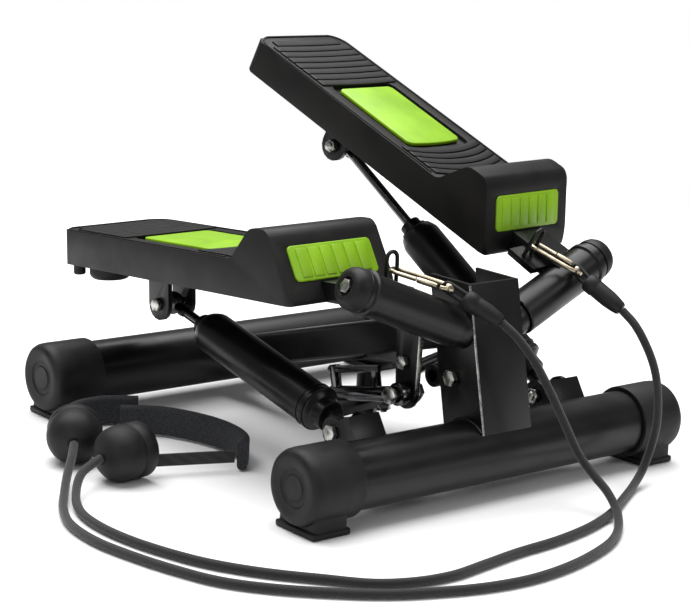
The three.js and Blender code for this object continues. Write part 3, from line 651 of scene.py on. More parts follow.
def block(x, y, z, round_off, segments):
    bm = bmesh.new()
    bmesh.ops.create_cube(bm, size=1, matrix=Matrix.Diagonal((x, y, z, 1)))
    return soften(bm, round_off, segments)


def join(*parts):
    """Puts several (bmesh, matrix) parts into one, each with its own closed skin."""
    whole = bmesh.new()
    for part, matrix in parts:
        carry(part, matrix)
        scrap = bpy.data.meshes.new("scrap")
        part.to_mesh(scrap)
        part.free()
        whole.from_mesh(scrap)
        bpy.data.meshes.remove(scrap)
    return whole


print("soften, block and join ready")

# %% [markdown]
# ## End caps
# Each end of a tube wears a rubber cap, with shallow rings turned into its end face and a
# flat foot block under it. So a cap is one spun shell joined to two softened blocks, the
# foot and its slightly wider lip, and the foot narrows a little towards its top.

# %% End caps
CAP_PROFILE = [
    (0, 1.4), (9, 1.4), (10.2, 2.4), (13.6, 2.4), (15, 1.2), (18.5, 0.8), (22, 0), (25, 0.8),
    (27, 2.6), (28.2, 5.6), (28.5, 10), (28.5, 44.6), (28.1, 45.8), (27.4, 46), (25.5, 46),
    (25.5, 6), (0, 6),
]
FOOT_BLOCK, FOOT_LIP, FOOT_MIDDLE, FOOT_NARROWS = (30, 42, 27), (34, 44, 5), 21, 0.05


def end_cap():
    foot = block(*FOOT_BLOCK, 2.6, 4)
    for vert in foot.verts:
        vert.co.x *= 1.0 - FOOT_NARROWS * (vert.co.z > 0)
    lip = block(*FOOT_LIP, 1.4, 3)
    return join(
        (turned(CAP_PROFILE, 96), along_x),
        (foot, shift(FOOT_MIDDLE, 0, FOOT_BLOCK[2] / 2 - TUBE_HEIGHT)),
        (lip, shift(FOOT_MIDDLE, 0, FOOT_LIP[2] / 2 - TUBE_HEIGHT)),
    )


for name, y in (("front", -TUBE_OFFSET), ("rear", TUBE_OFFSET)):
    for hand, side in (("left", Matrix()), ("right", MIRROR)):
        place = side @ shift(-BASE_HALF, y, TUBE_HEIGHT)
        cap_name = f"{name}_{hand}_end_cap"
        node = f"{name}_{hand}_cap"
        piece = keep(end_cap(), cap_name, moulded_rubber, "frame", [node], place)
print("end caps made: 4")

# %% [markdown]
# ## Pieces whose shape is already right
# Plates, forks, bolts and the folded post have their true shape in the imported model, but
# its edges are razor sharp. A copy of each is merged, its flat faces are joined up again,
# and every sharp edge gets a small round, whose width is given here in millimetres.

# %% Softened copies


def merged(node):
    """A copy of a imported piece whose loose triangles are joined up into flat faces."""
    bm = bmesh.new()
    bm.from_mesh(nodes[node].data)
    bmesh.ops.remove_doubles(bm, verts=bm.verts, dist=2e-6)
    bmesh.ops.dissolve_limit(
        bm, angle_limit=math.radians(0.5), verts=bm.verts, edges=bm.edges
    )
    return bm


def softened_copy(node, finish, width, segments=2):
    bm = soften(merged(node), width / PER_METRE, segments)
    body = nodes[node]["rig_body"]
    piece = keep(bm, f"soft_{node}", finish, body, [node], in_model=True)


BASE_EDGES = {"spine_tube": 1.2, "front_post": 1.0, "rocker_hanger": 0.4, "rocker": 0.5}
ARM_EDGES = {"pedal_arm": 0.8, "lever": 0.6, "damper_fork": 0.7, "pivot_shaft": 0.35}
BOLTS = ("clevis_bolt", "lever_bolt", "lever_pin", "fork_bolt", "pivot_bolt")
for node, width in BASE_EDGES.items():
    softened_copy(node, powder_coat, width, 3)
softened_copy("post_cross_bolt", zinc_plate, 0.4)
for hand in ("left", "right"):
    for part, width in ARM_EDGES.items():
        softened_copy(f"{hand}_{part}", powder_coat, width, 3)
    for part in BOLTS:
        softened_copy(f"{hand}_{part}", zinc_plate, 0.35)
    softened_copy(f"{hand}_link", dark_chrome, 0.35)
print("softened copies made:", 1 + len(BASE_EDGES) + 2 * (len(ARM_EDGES) + len(BOLTS) + 1))

# %% [markdown]
# ## Bush at the back of the post
# A short tube with broken edges is welded across the back of the post. It is turned, and
# laid across.

# %% Post bush
BUSH_AT = (0, -124.38, 84)
bush = turned([(5, -24), (8.4, -24), (9, -23.4), (9, 23.4), (8.4, 24), (5, 24), (5, -24)], 48)
piece = keep(
    bush, "post_bush", powder_coat, "frame", ["post_rear_bush"],
    shift(*BUSH_AT) @ along_x,
)
print("post bush made")

# %% [markdown]
# ## Highlight on the bend, and weld beads
# A bright zinc line runs down the post's sharp left bend. It is a painted highlight, for the
# light that the rounded bend catches. A weld bead joins each side of the post to the floor
# tube. Both are round lines laid along the edge that they follow.

# %% Post details
POST_HALF, POST_FOOT_Y, POST_LEAN, POST_TOP, LEAN_STARTS = 25, -185.5, 0.23, 162, 50
BEND_HIGHLIGHT_INSET, BEND_HIGHLIGHT_RADIUS = 0.5, 0.95
bend = [
    (BEND_HIGHLIGHT_INSET - POST_HALF, POST_FOOT_Y + BEND_HIGHLIGHT_INSET + POST_LEAN * (z - LEAN_STARTS), z)
    for z in (52, 80, 110, POST_TOP - 1)
]
# The zinc line down the bend is a painted highlight.
piece = keep_mesh(along(bend, BEND_HIGHLIGHT_RADIUS), "post_bend_highlight", zinc_plate, "frame")

BEAD_POINTS, BEAD_START, BEAD_STEP, BEAD_RADIUS, BEAD_RIPPLE = 29, -183.5, 1.4, 1.5, 0.25
for hand, side in (("left", -1), ("right", 1)):
    bead = []
    for i in range(BEAD_POINTS):
        y = BEAD_START + BEAD_STEP * i
        rise = math.sqrt(TUBE_RADIUS ** 2 - (y + TUBE_OFFSET) ** 2)
        ripple = BEAD_RIPPLE * (-1) ** i
        bead.append((side * (POST_HALF + 0.3), y, TUBE_HEIGHT + rise + 0.5 + ripple))
    piece = keep_mesh(along(bead, BEAD_RADIUS), f"{hand}_post_weld_bead", powder_coat, "frame")
print("post details made")

# %% [markdown]
# ## Where the pedals stand
# Both pedals are the same parts, mirrored. The left one is at the bottom of its stroke; the
# right one has turned up by 30 degrees about its own sloping shaft. One matrix for each
# hand takes a drawing of the lowered left pedal to where that pedal stands.

# %% Pedal frames
PIVOT = Vector((-132, -143.5, 168.6))
PIVOT_TURN = spun(-5.3, "Z") @ spun(21.2, "Y")
STROKE = 30
PIVOT_FRAME = Matrix.Translation(PIVOT) @ PIVOT_TURN @ along_x
DECK_FRAME = shift(-96, -86, 173) @ spun(2.3, "Z") @ spun(-4.3, "X")

right_pivot = MIRROR @ PIVOT
left_axis = PIVOT_TURN @ Vector((1, 0, 0))
right_axis = Vector((left_axis.x, -left_axis.y, -left_axis.z))
raise_right = (
    Matrix.Translation(right_pivot)
    @ Matrix.Rotation(math.radians(STROKE), 4, right_axis)
    @ Matrix.Translation(-right_pivot)
)
STANDS = {"left": Matrix(), "right": raise_right @ MIRROR}
print("the pedals' shafts slope along", [round(v, 3) for v in left_axis])

# %% [markdown]
# ## Pedal decks
# The deck is one moulding. Its heel corners are well rounded in plan, so the copy's corner
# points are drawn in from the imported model's radius to a larger one. The groove round the
# green pad is widened by moving the seat's own points out, and then all edges are softened.

# %% Pedal decks
HEEL_Y, SIDE_X, HEEL_RADIUS, OLD_RADIUS = 281.5, 53.5, 18, 11
SEAT_HALF_X, SEAT_HALF_Y, SEAT_MIDDLE, SEAT_DEPTH = 37, 48, 148, 3
GROOVE_GROWS, SEAT_ROOM, DEPTH_ROOM, DECK_EDGE = 2, 0.3, 0.2, 1.6


def draw_in(x, y):
    """Moves a point of a corner of the old radius on to one of the new radius."""
    dx, dy = abs(x) - (SIDE_X - HEEL_RADIUS), y - (HEEL_Y - HEEL_RADIUS)
    if dx <= 0 or dy <= 0:
        return x, y
    far = math.hypot(dx, dy)
    ux, uy = dx / far, dy / far
    inner = HEEL_RADIUS - OLD_RADIUS
    lean = inner * (ux + uy)
    edge = min(HEEL_RADIUS / ux, HEEL_RADIUS / uy, lean + math.sqrt(
        max(lean * lean - 2 * inner * inner + OLD_RADIUS * OLD_RADIUS, 0)
    ))
    keep_share = HEEL_RADIUS / max(edge, HEEL_RADIUS)
    new_x = SIDE_X - HEEL_RADIUS + dx * keep_share
    return math.copysign(new_x, x), HEEL_Y - HEEL_RADIUS + dy * keep_share


for hand, stand in STANDS.items():
    node = f"{hand}_pedal_deck"
    to_model = TO_MODEL @ stand @ DECK_FRAME
    deck = merged(node)
    for vert in deck.verts:
        spot = to_model.inverted() @ vert.co
        spot.x, spot.y = draw_in(spot.x, spot.y)
        over_seat = abs(spot.x) < SEAT_HALF_X + SEAT_ROOM
        in_seat = over_seat and abs(spot.y - SEAT_MIDDLE) < SEAT_HALF_Y + SEAT_ROOM
        if in_seat and spot.z > -SEAT_DEPTH - DEPTH_ROOM:
            spot.x += math.copysign(GROOVE_GROWS, spot.x)
            spot.y += math.copysign(GROOVE_GROWS, spot.y - SEAT_MIDDLE)
        vert.co = to_model @ spot
    soften(deck, DECK_EDGE / PER_METRE, 3, 30)
    piece = keep(deck, f"soft_{node}", moulded_plastic, f"{hand}_pedal", [node], in_model=True)
print("decks made")

# %% [markdown]
# ## Tread
# The deck's top is moulded with low ribs for grip. Behind the green pad they run straight
# across; ahead of it they bow towards the toe, like its rounded edge. Each rib is a flat
# grid that is thickened, bowed and softened, and its lower part is buried in the deck.

# %% Rib of the tread
DECK_HALF, RIB_HEIGHT, BURIED = 47.5, 1.3, 1


def rib(middle, width, half, bow):
    bm = bmesh.new()
    bmesh.ops.create_grid(bm, x_segments=24, y_segments=1, size=0.5)
    bmesh.ops.scale(bm, vec=(2 * half, width, 1), verts=bm.verts)
    bmesh.ops.solidify(bm, geom=bm.faces[:], thickness=-RIB_HEIGHT - BURIED)
    for vert in bm.verts:
        vert.co.y += middle + bow * ((vert.co.x / DECK_HALF) ** 2 - 1)
    bmesh.ops.recalc_face_normals(bm, faces=bm.faces)
    low = min(v.co.z for v in bm.verts)
    bmesh.ops.translate(bm, vec=(0, 0, -BURIED - low), verts=bm.verts)
    return soften(bm, 0.5, 2, 50)


print("ribs stand", RIB_HEIGHT, "mm above the deck")

# %% [markdown]
# ## Rim of the tread
# A narrow rim follows the deck's edge from one side of the toe block round the heel to the
# other. Two lines at different distances from the edge are bridged into a band, and the
# band is extruded up and softened.

# %% Rim of the tread
RIM_HEIGHT, RIM_OUTER, RIM_INNER, RIM_START, CORNER_STEPS = 0.9, 1.8, 3.4, 64, 8


def rim():
    """A narrow raised line just inside the deck's edge, round the heel to the toe block."""
    bm = bmesh.new()
    lines = []
    for inset in (RIM_OUTER, RIM_INNER):
        half, radius, heel = SIDE_X - inset, HEEL_RADIUS - inset, HEEL_Y - inset
        row = [(-half, RIM_START), (-half, heel - radius)]
        for i in range(1, 2 * CORNER_STEPS):
            side, turn_from = (-1, 180) if i < CORNER_STEPS else (1, 90)
            angle = math.radians(turn_from - 90 * (i % CORNER_STEPS) / CORNER_STEPS)
            row.append((
                side * (half - radius) + radius * math.cos(angle),
                heel - radius + radius * math.sin(angle),
            ))
        row += [(half, heel - radius), (half, RIM_START)]
        points = [bm.verts.new((x, y, -BURIED)) for x, y in row]
        lines += [bm.edges.new(pair) for pair in zip(points, points[1:])]
    band = bmesh.ops.bridge_loops(bm, edges=lines)["faces"]
    raised = bmesh.ops.extrude_face_region(bm, geom=band)
    lifted = [v for v in raised["geom"] if isinstance(v, bmesh.types.BMVert)]
    bmesh.ops.translate(bm, vec=(0, 0, RIM_HEIGHT + BURIED), verts=lifted)
    bmesh.ops.recalc_face_normals(bm, faces=bm.faces)
    return soften(bm, 0.4, 2, 50)


print("rim is", round(RIM_INNER - RIM_OUTER, 1), "mm wide")

# %% [markdown]
# ## Ribs and rim together
# Eight ribs lie behind the green pad, and five bowed ones ahead of it. The last rib at the
# heel is shorter, since the corners are rounded. With the rim they make one piece.

# %% Tread ribs
HEEL_RIBS, HEEL_FIRST, HEEL_PITCH, HEEL_RIB, HEEL_BOW = 8, 202, 9.3, 7.9, 1.5
TOE_RIBS, TOE_FIRST, TOE_PITCH, TOE_RIB, TOE_BOW = 5, 99, 8.3, 6.9, 8.5
LAST_RIB_SHORTER = 7


def tread():
    ribs = []
    for i in range(HEEL_RIBS):
        half = DECK_HALF - 0.5 - LAST_RIB_SHORTER * (i == HEEL_RIBS - 1)
        ribs.append((rib(HEEL_FIRST + HEEL_PITCH * i, HEEL_RIB, half, HEEL_BOW), Matrix()))
    for i in range(TOE_RIBS):
        ribs.append((rib(TOE_FIRST - TOE_PITCH * i, TOE_RIB, DECK_HALF, TOE_BOW), Matrix()))
    return join((rim(), Matrix()), *ribs)


for hand, stand in STANDS.items():
    piece = keep(
        tread(), f"{hand}_tread_ribs", moulded_plastic, f"{hand}_pedal", (),
        stand @ DECK_FRAME,
    )
print("tread ribs made")

# %% [markdown]
# ## Highlight on the lever's edge
# The lever is sheared from plate. A narrow bright zinc strip runs down its front edge; it is
# a painted highlight, for the light that the edge catches. The strip is built upright and
# aimed from one end of the edge to the other, as the dampers, hooks and bells below are.

# %% Lever edges


def aim(start, end, side=(1, 0, 0)):
    """Carries a piece built up along +Z to run from one point towards another."""
    start, end, side = Vector(start), Vector(end), Vector(side)
    z = (end - start).normalized()
    x = (side - z * side.dot(z)).normalized()
    y = z.cross(x)
    return Matrix.Translation(start) @ Matrix((x, y, z)).transposed().to_4x4()


EDGE_LOW, EDGE_HIGH = (-45, -131.3, 73), (-45, -132.2, 125)
EDGE_WIDTH, EDGE_THICK, EDGE_LENGTH = 4.6, 0.7, 52
for hand, stand in STANDS.items():
    strip = block(EDGE_WIDTH, EDGE_THICK, EDGE_LENGTH, 0.2, 2)
    place = stand @ aim(EDGE_LOW, EDGE_HIGH) @ shift(0, 0, EDGE_LENGTH / 2)
    # The zinc strip is a painted highlight on the lever's edge.
    piece = keep(strip, f"{hand}_lever_edge_highlight", zinc_plate, f"{hand}_pedal", (), place)
print("lever edges made")

# %% [markdown]
# ## Green pad
# The pad lies in a seat in the tread, and its toe edge is bowed. It is a flat outline with
# rounded corners, extruded and softened.

# %% Green pad


def flat_plate(outline, thickness, round_off):
    bm = bmesh.new()
    face = bm.faces.new([bm.verts.new((x, y, 0)) for x, y in outline])
    raised = bmesh.ops.extrude_face_region(bm, geom=[face])
    lifted = [v for v in raised["geom"] if isinstance(v, bmesh.types.BMVert)]
    bmesh.ops.translate(bm, vec=(0, 0, thickness), verts=lifted)
    bmesh.ops.recalc_face_normals(bm, faces=bm.faces)
    rims = [e for e in bm.edges if abs(e.verts[0].co.z - e.verts[1].co.z) < 1e-6]
    bmesh.ops.bevel(
        bm, geom=rims, offset=round_off, offset_type="OFFSET", affect="EDGES", segments=3,
        profile=0.5, material=-1, clamp_overlap=True,
    )
    return bm


def rounded_outline(width, height, radius, toe_bow=0.0):
    corners = [(1, -1, -90), (1, 1, 0), (-1, 1, 90), (-1, -1, 180)]
    steps = 7
    outline = []
    for sx, sy, first in corners:
        cx, cy = sx * (width / 2 - radius), sy * (height / 2 - radius)
        for i in range(steps):
            angle = math.radians(first + 90 * i / (steps - 1))
            outline.append((cx + radius * math.cos(angle), cy + radius * math.sin(angle)))
    if toe_bow:
        for i in range(1, 12):
            x = -width / 2 + radius + (width - 2 * radius) * i / 12
            outline.append((x, -height / 2))
        outline = [
            (x, y - toe_bow * (1 - (2 * x / width) ** 2) if y < 0 else y) for x, y in outline
        ]
    return outline


PAD_WIDTH, PAD_LENGTH, PAD_MIDDLE, PAD_THICK, PAD_SUNK, PAD_BOW = 66, 86, 149, 3.1, 2.6, 2.6
for hand, stand in STANDS.items():
    pad = flat_plate(rounded_outline(PAD_WIDTH, PAD_LENGTH, 5, PAD_BOW), PAD_THICK, 0.9)
    piece = keep(
        pad, f"{hand}_green_pad", lime_plastic, f"{hand}_pedal", [f"{hand}_deck_inset"],
        stand @ DECK_FRAME @ shift(0, PAD_MIDDLE, -PAD_SUNK),
    )
print("green pads made: 2")

# %% [markdown]
# ## Toe panel
# The face of the toe block slopes, and a green panel with six upright bars is let into it.
# The panel is the same kind of flat plate, and the bars are softened blocks joined to it.

# %% Toe panel
TOE_FACE_SLOPE = 0.507
PANEL_WIDTH, PANEL_HEIGHT, PANEL_CORNER, PANEL_THICK, PANEL_SUNK = 82, 28, 4, 3.6, 2.5
BAR_SIZE, BARS, FIRST_BAR, BAR_PITCH = (9.6, 22.5, 1.6), 6, -29.5, 11.8
TOE_FRAME = spun(90 - math.degrees(math.atan(TOE_FACE_SLOPE)), "X") @ shift(0, 0.5, 0)
for hand, stand in STANDS.items():
    outline = rounded_outline(PANEL_WIDTH, PANEL_HEIGHT, PANEL_CORNER)
    plate = flat_plate(outline, PANEL_THICK, 0.7)
    bars = [
        (block(*BAR_SIZE, 0.6, 2), shift(FIRST_BAR + BAR_PITCH * i, 0, PANEL_THICK))
        for i in range(BARS)
    ]
    panel = join((plate, Matrix()), *bars)
    piece = keep(
        panel, f"{hand}_green_toe_panel", lime_plastic, f"{hand}_pedal",
        [f"{hand}_toe_panel"], stand @ DECK_FRAME @ TOE_FRAME @ shift(0, 0, -PANEL_SUNK),
    )
print("toe panels made: 2")

# %% [markdown]
# ## Stops under the heel
# A thick rubber pad and a small stud hang under each heel, and meet the rear of the base
# at the bottom of the stroke. Both are turned shapes.

# %% Heel stops
STOP_AT, STUD_AT = (-24, 250, -28.7), (-42, 268, -28.4)
for hand, stand in STANDS.items():
    pad = turned([
        (0, 0), (17, 0), (17, -7.6), (16.2, -9.6), (14.4, -11.4), (13, -12), (0, -12),
    ], 48)
    piece = keep(
        pad, f"{hand}_heel_stop", moulded_rubber, f"{hand}_pedal", [f"{hand}_heel_pad"],
        stand @ DECK_FRAME @ shift(*STOP_AT),
    )
    stud = turned([(0, 1), (5.4, 1), (5.4, -1), (5, -2), (5, -7.8), (4, -9), (0, -9)], 32)
    place = stand @ DECK_FRAME @ shift(*STUD_AT)
    piece = keep(stud, f"{hand}_heel_stud", moulded_rubber, f"{hand}_pedal", (), place)
print("heel stops and studs made: 4")

# %% [markdown]
# ## Pivot sleeves
# Each pedal turns on a fat sleeve that slopes down to the post. It is a tube with a collar
# and a plastic cap on its outer end, held by a bolt. The sleeve and the cap are turned.

# %% Pivot sleeves
SLEEVE = [
    (8.5, 12.5), (15.2, 12.5), (16, 13.3), (16, 17), (16.8, 17.4), (17.6, 18.2), (17.6, 21.4),
    (16.8, 22.2), (16, 22.6), (16, 105.2), (15.2, 106), (8.5, 106), (8.5, 12.5),
]
SLEEVE_CAP = [
    (4.4, 4), (6.8, 4), (7.2, 1.2), (7.8, 0.2), (9, 0), (11, 0.2), (13.6, 1.8), (15.2, 4.4),
    (16.1, 7.6), (16.4, 10), (16.4, 12.2), (4.4, 12.2), (4.4, 4),
]
for hand, stand in STANDS.items():
    place = stand @ PIVOT_FRAME
    body = f"{hand}_pedal"
    piece = keep(
        turned(SLEEVE), f"{hand}_sleeve", powder_coat, body, [f"{hand}_pivot_sleeve"], place
    )
    piece = keep(
        turned(SLEEVE_CAP), f"{hand}_sleeve_cap", moulded_plastic, body,
        [f"{hand}_sleeve_end_cap"], place,
    )
print("sleeves made")

# %% [markdown]
# ## Dampers
# A hydraulic damper under each pedal resists the step. Its barrel is painted tube with a
# stepped neck and two rings; its rod is dark chromed steel. Each has an eye at its end, for
# a bolt. All of it is turned, about the line from the fork on the front tube to the clevis
# under the deck, and each outline here starts at the eye or ends at it.

# %% Damper shapes
FOOT = Vector((-105, -124, 53))
TOP = DECK_FRAME @ Vector((-4, 192, -56))
BARREL_EYE_BORE, ROD_EYE_BORE = 5.6, 6.2
BARREL = [
    (0, 21), (11.4, 21), (12, 21.8), (12, 30), (13, 31.4), (16, 33.2), (17, 35), (17, 170),
    (16.6, 172), (15, 176), (14, 178), (12.4, 179), (11.6, 179.4), (11.6, 181), (9, 181.4),
    (9, 187), (8.4, 187.8), (4.4, 188), (4.4, 45), (0, 45),
]
NECK = [(0, 7), (6, 7), (6, 22), (0, 22)]
ROD = [(0, -165), (4, -165), (4, -8), (5.4, -7.4), (5.4, -6.6), (0, -6.6)]
RINGS = [(34.2, 38.4), (41.2, 43.4)]


def eye(bore):
    return turned([
        (bore, -6), (7.4, -6), (8.6, -4), (9.3, -2), (9.5, 0), (9.3, 2), (8.6, 4), (7.4, 6),
        (bore, 6), (bore, -6),
    ], 48)


def ring(low, high):
    return turned([
        (16.5, low), (17.7, low + 0.3), (17.9, (low + high) / 2), (17.7, high - 0.3),
        (16.5, high), (16.5, low),
    ])


print("barrel's outline points:", len(BARREL))

# %% [markdown]
# ## Dampers in their places
# The line between a damper's two bolts gives its place and its length. The barrel starts at
# the lower bolt and the rod ends at the upper one, so each can slide along that line.

# %% Dampers
for hand, stand in STANDS.items():
    foot = FOOT if hand == "left" else MIRROR @ FOOT
    top = stand @ TOP
    place = aim(foot, top)
    reach = (top - foot).length
    rings = [(ring(low, high), Matrix()) for low, high in RINGS]
    neck = turned(NECK, 32)
    barrel = join(
        (turned(BARREL), Matrix()), (neck, Matrix()), (eye(BARREL_EYE_BORE), along_x), *rings
    )
    piece = keep(
        barrel, f"{hand}_barrel", powder_coat, f"{hand}_damper", [f"{hand}_damper_barrel"],
        place,
    )
    rod_end = shift(0, 0, reach)
    rod = join((turned(ROD, 32), rod_end), (eye(ROD_EYE_BORE), rod_end @ along_x))
    piece = keep(
        rod, f"{hand}_rod", dark_chrome, f"{hand}_rod", [f"{hand}_damper_rod"], place
    )
    print(hand, "damper is", round(reach, 1), "mm between eyes")

# %% [markdown]
# ## Wire eyes
# A wire eye is welded to each pedal's arm, for its band. It is bent wire, so it is a round
# tube along a smooth line: up one leg, over a half turn and down the other leg.

# %% Wire eyes
EYE_X, EYE_Y, EYE_FOOT, EYE_BEND, EYE_RADIUS, EYE_WIRE = -67, -119, 158.3, 178, 5, 1.6
eye_line = [(EYE_X - EYE_RADIUS, EYE_Y, EYE_FOOT), (EYE_X - EYE_RADIUS, EYE_Y, EYE_BEND)]
for degrees in (30, 60, 90, 120, 150):
    angle = math.radians(degrees)
    eye_line.append((
        EYE_X - EYE_RADIUS * math.cos(angle), EYE_Y, EYE_BEND + EYE_RADIUS * math.sin(angle),
    ))
eye_line += [(EYE_X + EYE_RADIUS, EYE_Y, EYE_BEND), (EYE_X + EYE_RADIUS, EYE_Y, EYE_FOOT)]
for hand, stand in STANDS.items():
    mesh = along(smooth(eye_line), EYE_WIRE, stand)
    piece = keep_mesh(
        mesh, f"{hand}_wire_eye", powder_coat, f"{hand}_pedal", [f"{hand}_band_eye"]
    )
print("wire eyes made: 2")

# %% [markdown]
# ## Snap hooks
# A snap hook clips into each eye. Its bow is bent wire with a half turn at each end, and its
# gate and swivel are turned. They make one piece, since they hang together.

# %% Snap hooks
HANG = {
    "left": {
        "hook": ((-61.5, -121.5, 168), (-44.5, -151, 161.5)),
        "boot": ((-37, -167, 155), (-21, -190, 140)),
    },
    "right": {
        "hook": ((-72.5, -121.5, 167), (-78.5, -151.4, 170)),
        "boot": ((-78, -168, 169.5), (-82, -203, 168)),
    },
}


def half_turn(radius, length):
    line = [(-radius, 0, length)]
    for i in range(9):
        angle = math.pi + math.pi * i / 8
        line.append((radius * math.cos(angle), 0, radius * math.sin(angle)))
    return line


HOOK_TURN, HOOK_WIRE = 6, 1.75
for hand, stand in STANDS.items():
    start, end = (Vector(p) for p in HANG[hand]["hook"])
    reach = (end - start).length
    near = half_turn(HOOK_TURN, reach * 0.45)
    far = [(-x, y, reach - z) for x, y, z in half_turn(HOOK_TURN, 0)[1:]]
    place = stand @ aim(start, end, (0.9, 0.42, 0))
    bow = along(smooth(near + far), HOOK_WIRE, place)
    gate = turned([
        (0, 0), (2.1, 0.4), (2.3, 2), (2.3, reach * 0.4), (1.8, reach * 0.46),
        (0, reach * 0.47),
    ], 24)
    swivel = turned([
        (0, 0), (3.4, 0.4), (3.8, 1.4), (3.8, 3.6), (3.2, 4.8), (2.6, 6.4), (0, 7),
    ], 32)
    hook = join(
        (gate, shift(-HOOK_TURN, 0, reach * 0.47)), (swivel, shift(0, 0, reach + 3))
    )
    carry(hook, TO_MODEL @ place)
    hook.from_mesh(bow)
    piece = keep(
        hook, f"{hand}_spring_hook", worn_nickel, f"{hand}_pedal", [f"{hand}_snap_hook"],
        in_model=True,
    )
print("snap hooks made: 2")

# %% [markdown]
# ## Cord boots
# The swivel holds a small wire loop, which comes out of a rubber boot, and the cord leaves
# the boot's other end. The boot is turned, with a bead at its mouth, and the loop is a tube
# along a smooth line. The boot is the piece that each cord is fixed in.

# %% Cord boots
LOOP_TURN, LOOP_WIRE, LOOP_GAP, LOOP_BURIED = 3.4, 1.5, 4.3, 3
for hand, stand in STANDS.items():
    start, end = (Vector(p) for p in HANG[hand]["hook"])
    from_point, to_point = (Vector(p) for p in HANG[hand]["boot"])
    reach = (to_point - from_point).length
    sheath = turned([
        (0, 0), (4.6, 0), (6.4, 1), (7.4, 2.8), (7.5, 5.6), (7.5, 8.6), (6.9, 9.8), (7, 11.4),
        (6.9, reach - 12), (6.2, reach - 6), (5.4, reach - 1.4), (4.6, reach), (0, reach),
    ], 48)
    apex = end + (end - start).normalized() * LOOP_GAP
    run = (from_point - apex).length + LOOP_BURIED
    loop_line = half_turn(LOOP_TURN, run) + [(LOOP_TURN, 0, run)]
    loop = along(smooth(loop_line), LOOP_WIRE, stand @ aim(apex, from_point, (0, 0, 1)))
    carry(sheath, TO_MODEL @ stand @ aim(from_point, to_point))
    sheath.from_mesh(loop)
    piece = keep(
        sheath, f"{hand}_cord_boot", moulded_rubber, f"{hand}_pedal", [f"{hand}_band_boot"],
        in_model=True,
    )
    cord, line, length = cord_lines[hand]
print("cord boots made: 2")

# %% [markdown]
# ## Handles on the floor
# Each cord ends in a rubber bell, which a strap joins to a curved foam grip. The bell is
# turned with a rolled rim; the grip and strap are flat bars along a line.

# %% Handles
HANDLES = {
    "left": {
        "mouth": (-243, 32, 21.8), "back": (-222, 64, 21.8),
        "grip": [
            (-211, 86, 13), (-203, 106, 13), (-183, 122, 13), (-156, 124, 13), (-132, 110, 13),
        ],
        "strap": [(-222, 64, 12), (-211.2, 85.5, 12)],
    },
    "right": {
        "mouth": (-245, -9, 21.8), "back": (-206, -3, 21.8),
        "grip": [
            (-133, -34, 13), (-119, -17, 13), (-113, 12, 13), (-118, 44, 13), (-134, 76, 13),
            (-160, 94, 13),
        ],
        "strap": [(-207, -4, 12), (-137.5, -30, 12)],
    },
}
STRAP_EDGE, STRAP_WIDTH, GRIP_EDGE, GRIP_WIDTH = 1.3, 10, 4, 24
for hand, handle in HANDLES.items():
    mouth, back_end = Vector(handle["mouth"]), Vector(handle["back"])
    reach = (back_end - mouth).length
    bell = turned([
        (0, 0), (5.4, 0), (6.6, 0.8), (11, 2.4), (15.4, 5), (18.6, 8.6), (20.4, 12.4),
        (21.3, 17), (21.5, 22), (21.4, 25.4), (20.2, 26.6), (20, 27.4), (20.8, 28.6),
        (21.4, 29.6), (21.4, reach - 1.6), (20.6, reach - 0.3), (19, reach), (0, reach),
    ], 64)
    piece = keep(
        bell, f"{hand}_bell", moulded_rubber, "frame", [f"{hand}_handle_bell"],
        aim(mouth, back_end),
    )
    mesh = along(smooth(handle["strap"]), STRAP_EDGE, height=STRAP_WIDTH)
    piece = keep_mesh(mesh, f"{hand}_strap", strap_nylon, "frame")
    mesh = along(smooth(handle["grip"], 8), GRIP_EDGE, height=GRIP_WIDTH)
    piece = keep_mesh(mesh, f"{hand}_grip", grip_foam, "frame", [f"{hand}_handle_grip"])
print("handles made")

# %% [markdown]
# ## Studio floor
# The machine stands on a plain pale floor, which is staged and isn't part of the model. It
# lies a fifth of a millimetre below the feet, so that they don't flicker against it.

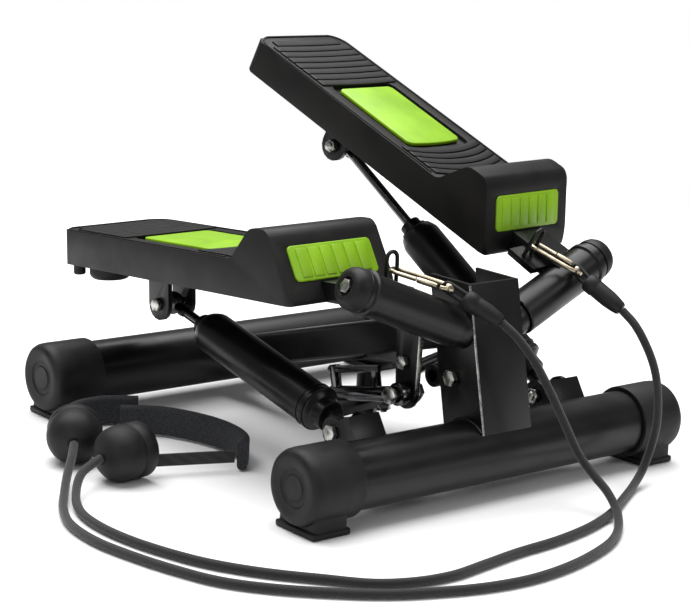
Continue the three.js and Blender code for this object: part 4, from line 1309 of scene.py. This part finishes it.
# %% Floor
floor_paint, tree, shader, place = new_finish("pale_studio_floor", 0.8)
wash = add(tree, "ShaderNodeTexNoise", {"Scale": 1.5, "Detail": 2.0}, {"Vector": place})
tone = add(
    tree, "ShaderNodeValToRGB",
    {"stops": ((0.3, linear("#f4f4f4")), (0.7, linear("#f8f8f8")))},
    {"Fac": wash.outputs["Fac"]},
)
wire(tree, shader, {"Base Color": tone.outputs["Color"]})
ground = bmesh.new()
FLOOR_HALF, FLOOR_DROP = 1.15, 0.0002
bmesh.ops.create_grid(ground, x_segments=1, y_segments=1, size=FLOOR_HALF)
bmesh.ops.translate(ground, vec=(0, 0, -FLOOR_DROP), verts=ground.verts)
floor_mesh = bpy.data.meshes.new("studio_floor")
ground.to_mesh(floor_mesh)
ground.free()
floor_mesh.materials.append(floor_paint)
floor = bpy.data.objects.new("studio_floor", floor_mesh)
bpy.context.scene.collection.objects.link(floor)
print("floor laid,", 2 * FLOOR_HALF, "m wide")

# %% [markdown]
# ## Studio lights
# A large soft light above and behind draws the long highlights on the tubes. Two small ones,
# at the left and in front, only just lift the near faces, because the black finishes should
# stay dark. The world is white where the camera sees it and dim where it lights the pieces.

# %% Lights
WORLD_LIGHT = 0.22
world = bpy.data.worlds.new("studio")
world.use_nodes = True
sky = world.node_tree
seen = add(sky, "ShaderNodeLightPath").outputs["Is Camera Ray"]
level_of_light = add(
    sky, "ShaderNodeMapRange", {"To Min": WORLD_LIGHT, "To Max": 1.0}, {"Value": seen}
)
sky.links.new(level_of_light.outputs["Result"], sky.nodes["Background"].inputs["Strength"])
sky.nodes["Background"].inputs["Color"].default_value = (1, 1, 1, 1)
bpy.context.scene.world = world


def soft_light(name, position, size, power):
    data = bpy.data.lights.new(name, "AREA")
    data.shape = "RECTANGLE"
    data.size, data.size_y = size
    data.energy = power
    lamp = bpy.data.objects.new(name, data)
    bpy.context.scene.collection.objects.link(lamp)
    aim_at = TARGET - Vector(position)
    lamp.rotation_euler = aim_at.to_track_quat("-Z", "Y").to_euler()
    lamp.location = position


soft_light("top_light", (0.1, 0.5, 2.2), (3.0, 2.6), 120)
soft_light("left_light", (-1.9, -0.9, 1.0), (0.4, 1.4), 6)
soft_light("front_light", (0.9, -2.1, 1.5), (1.4, 0.6), 8)
bpy.context.scene.view_settings.view_transform = "Standard"
print("studio lit")
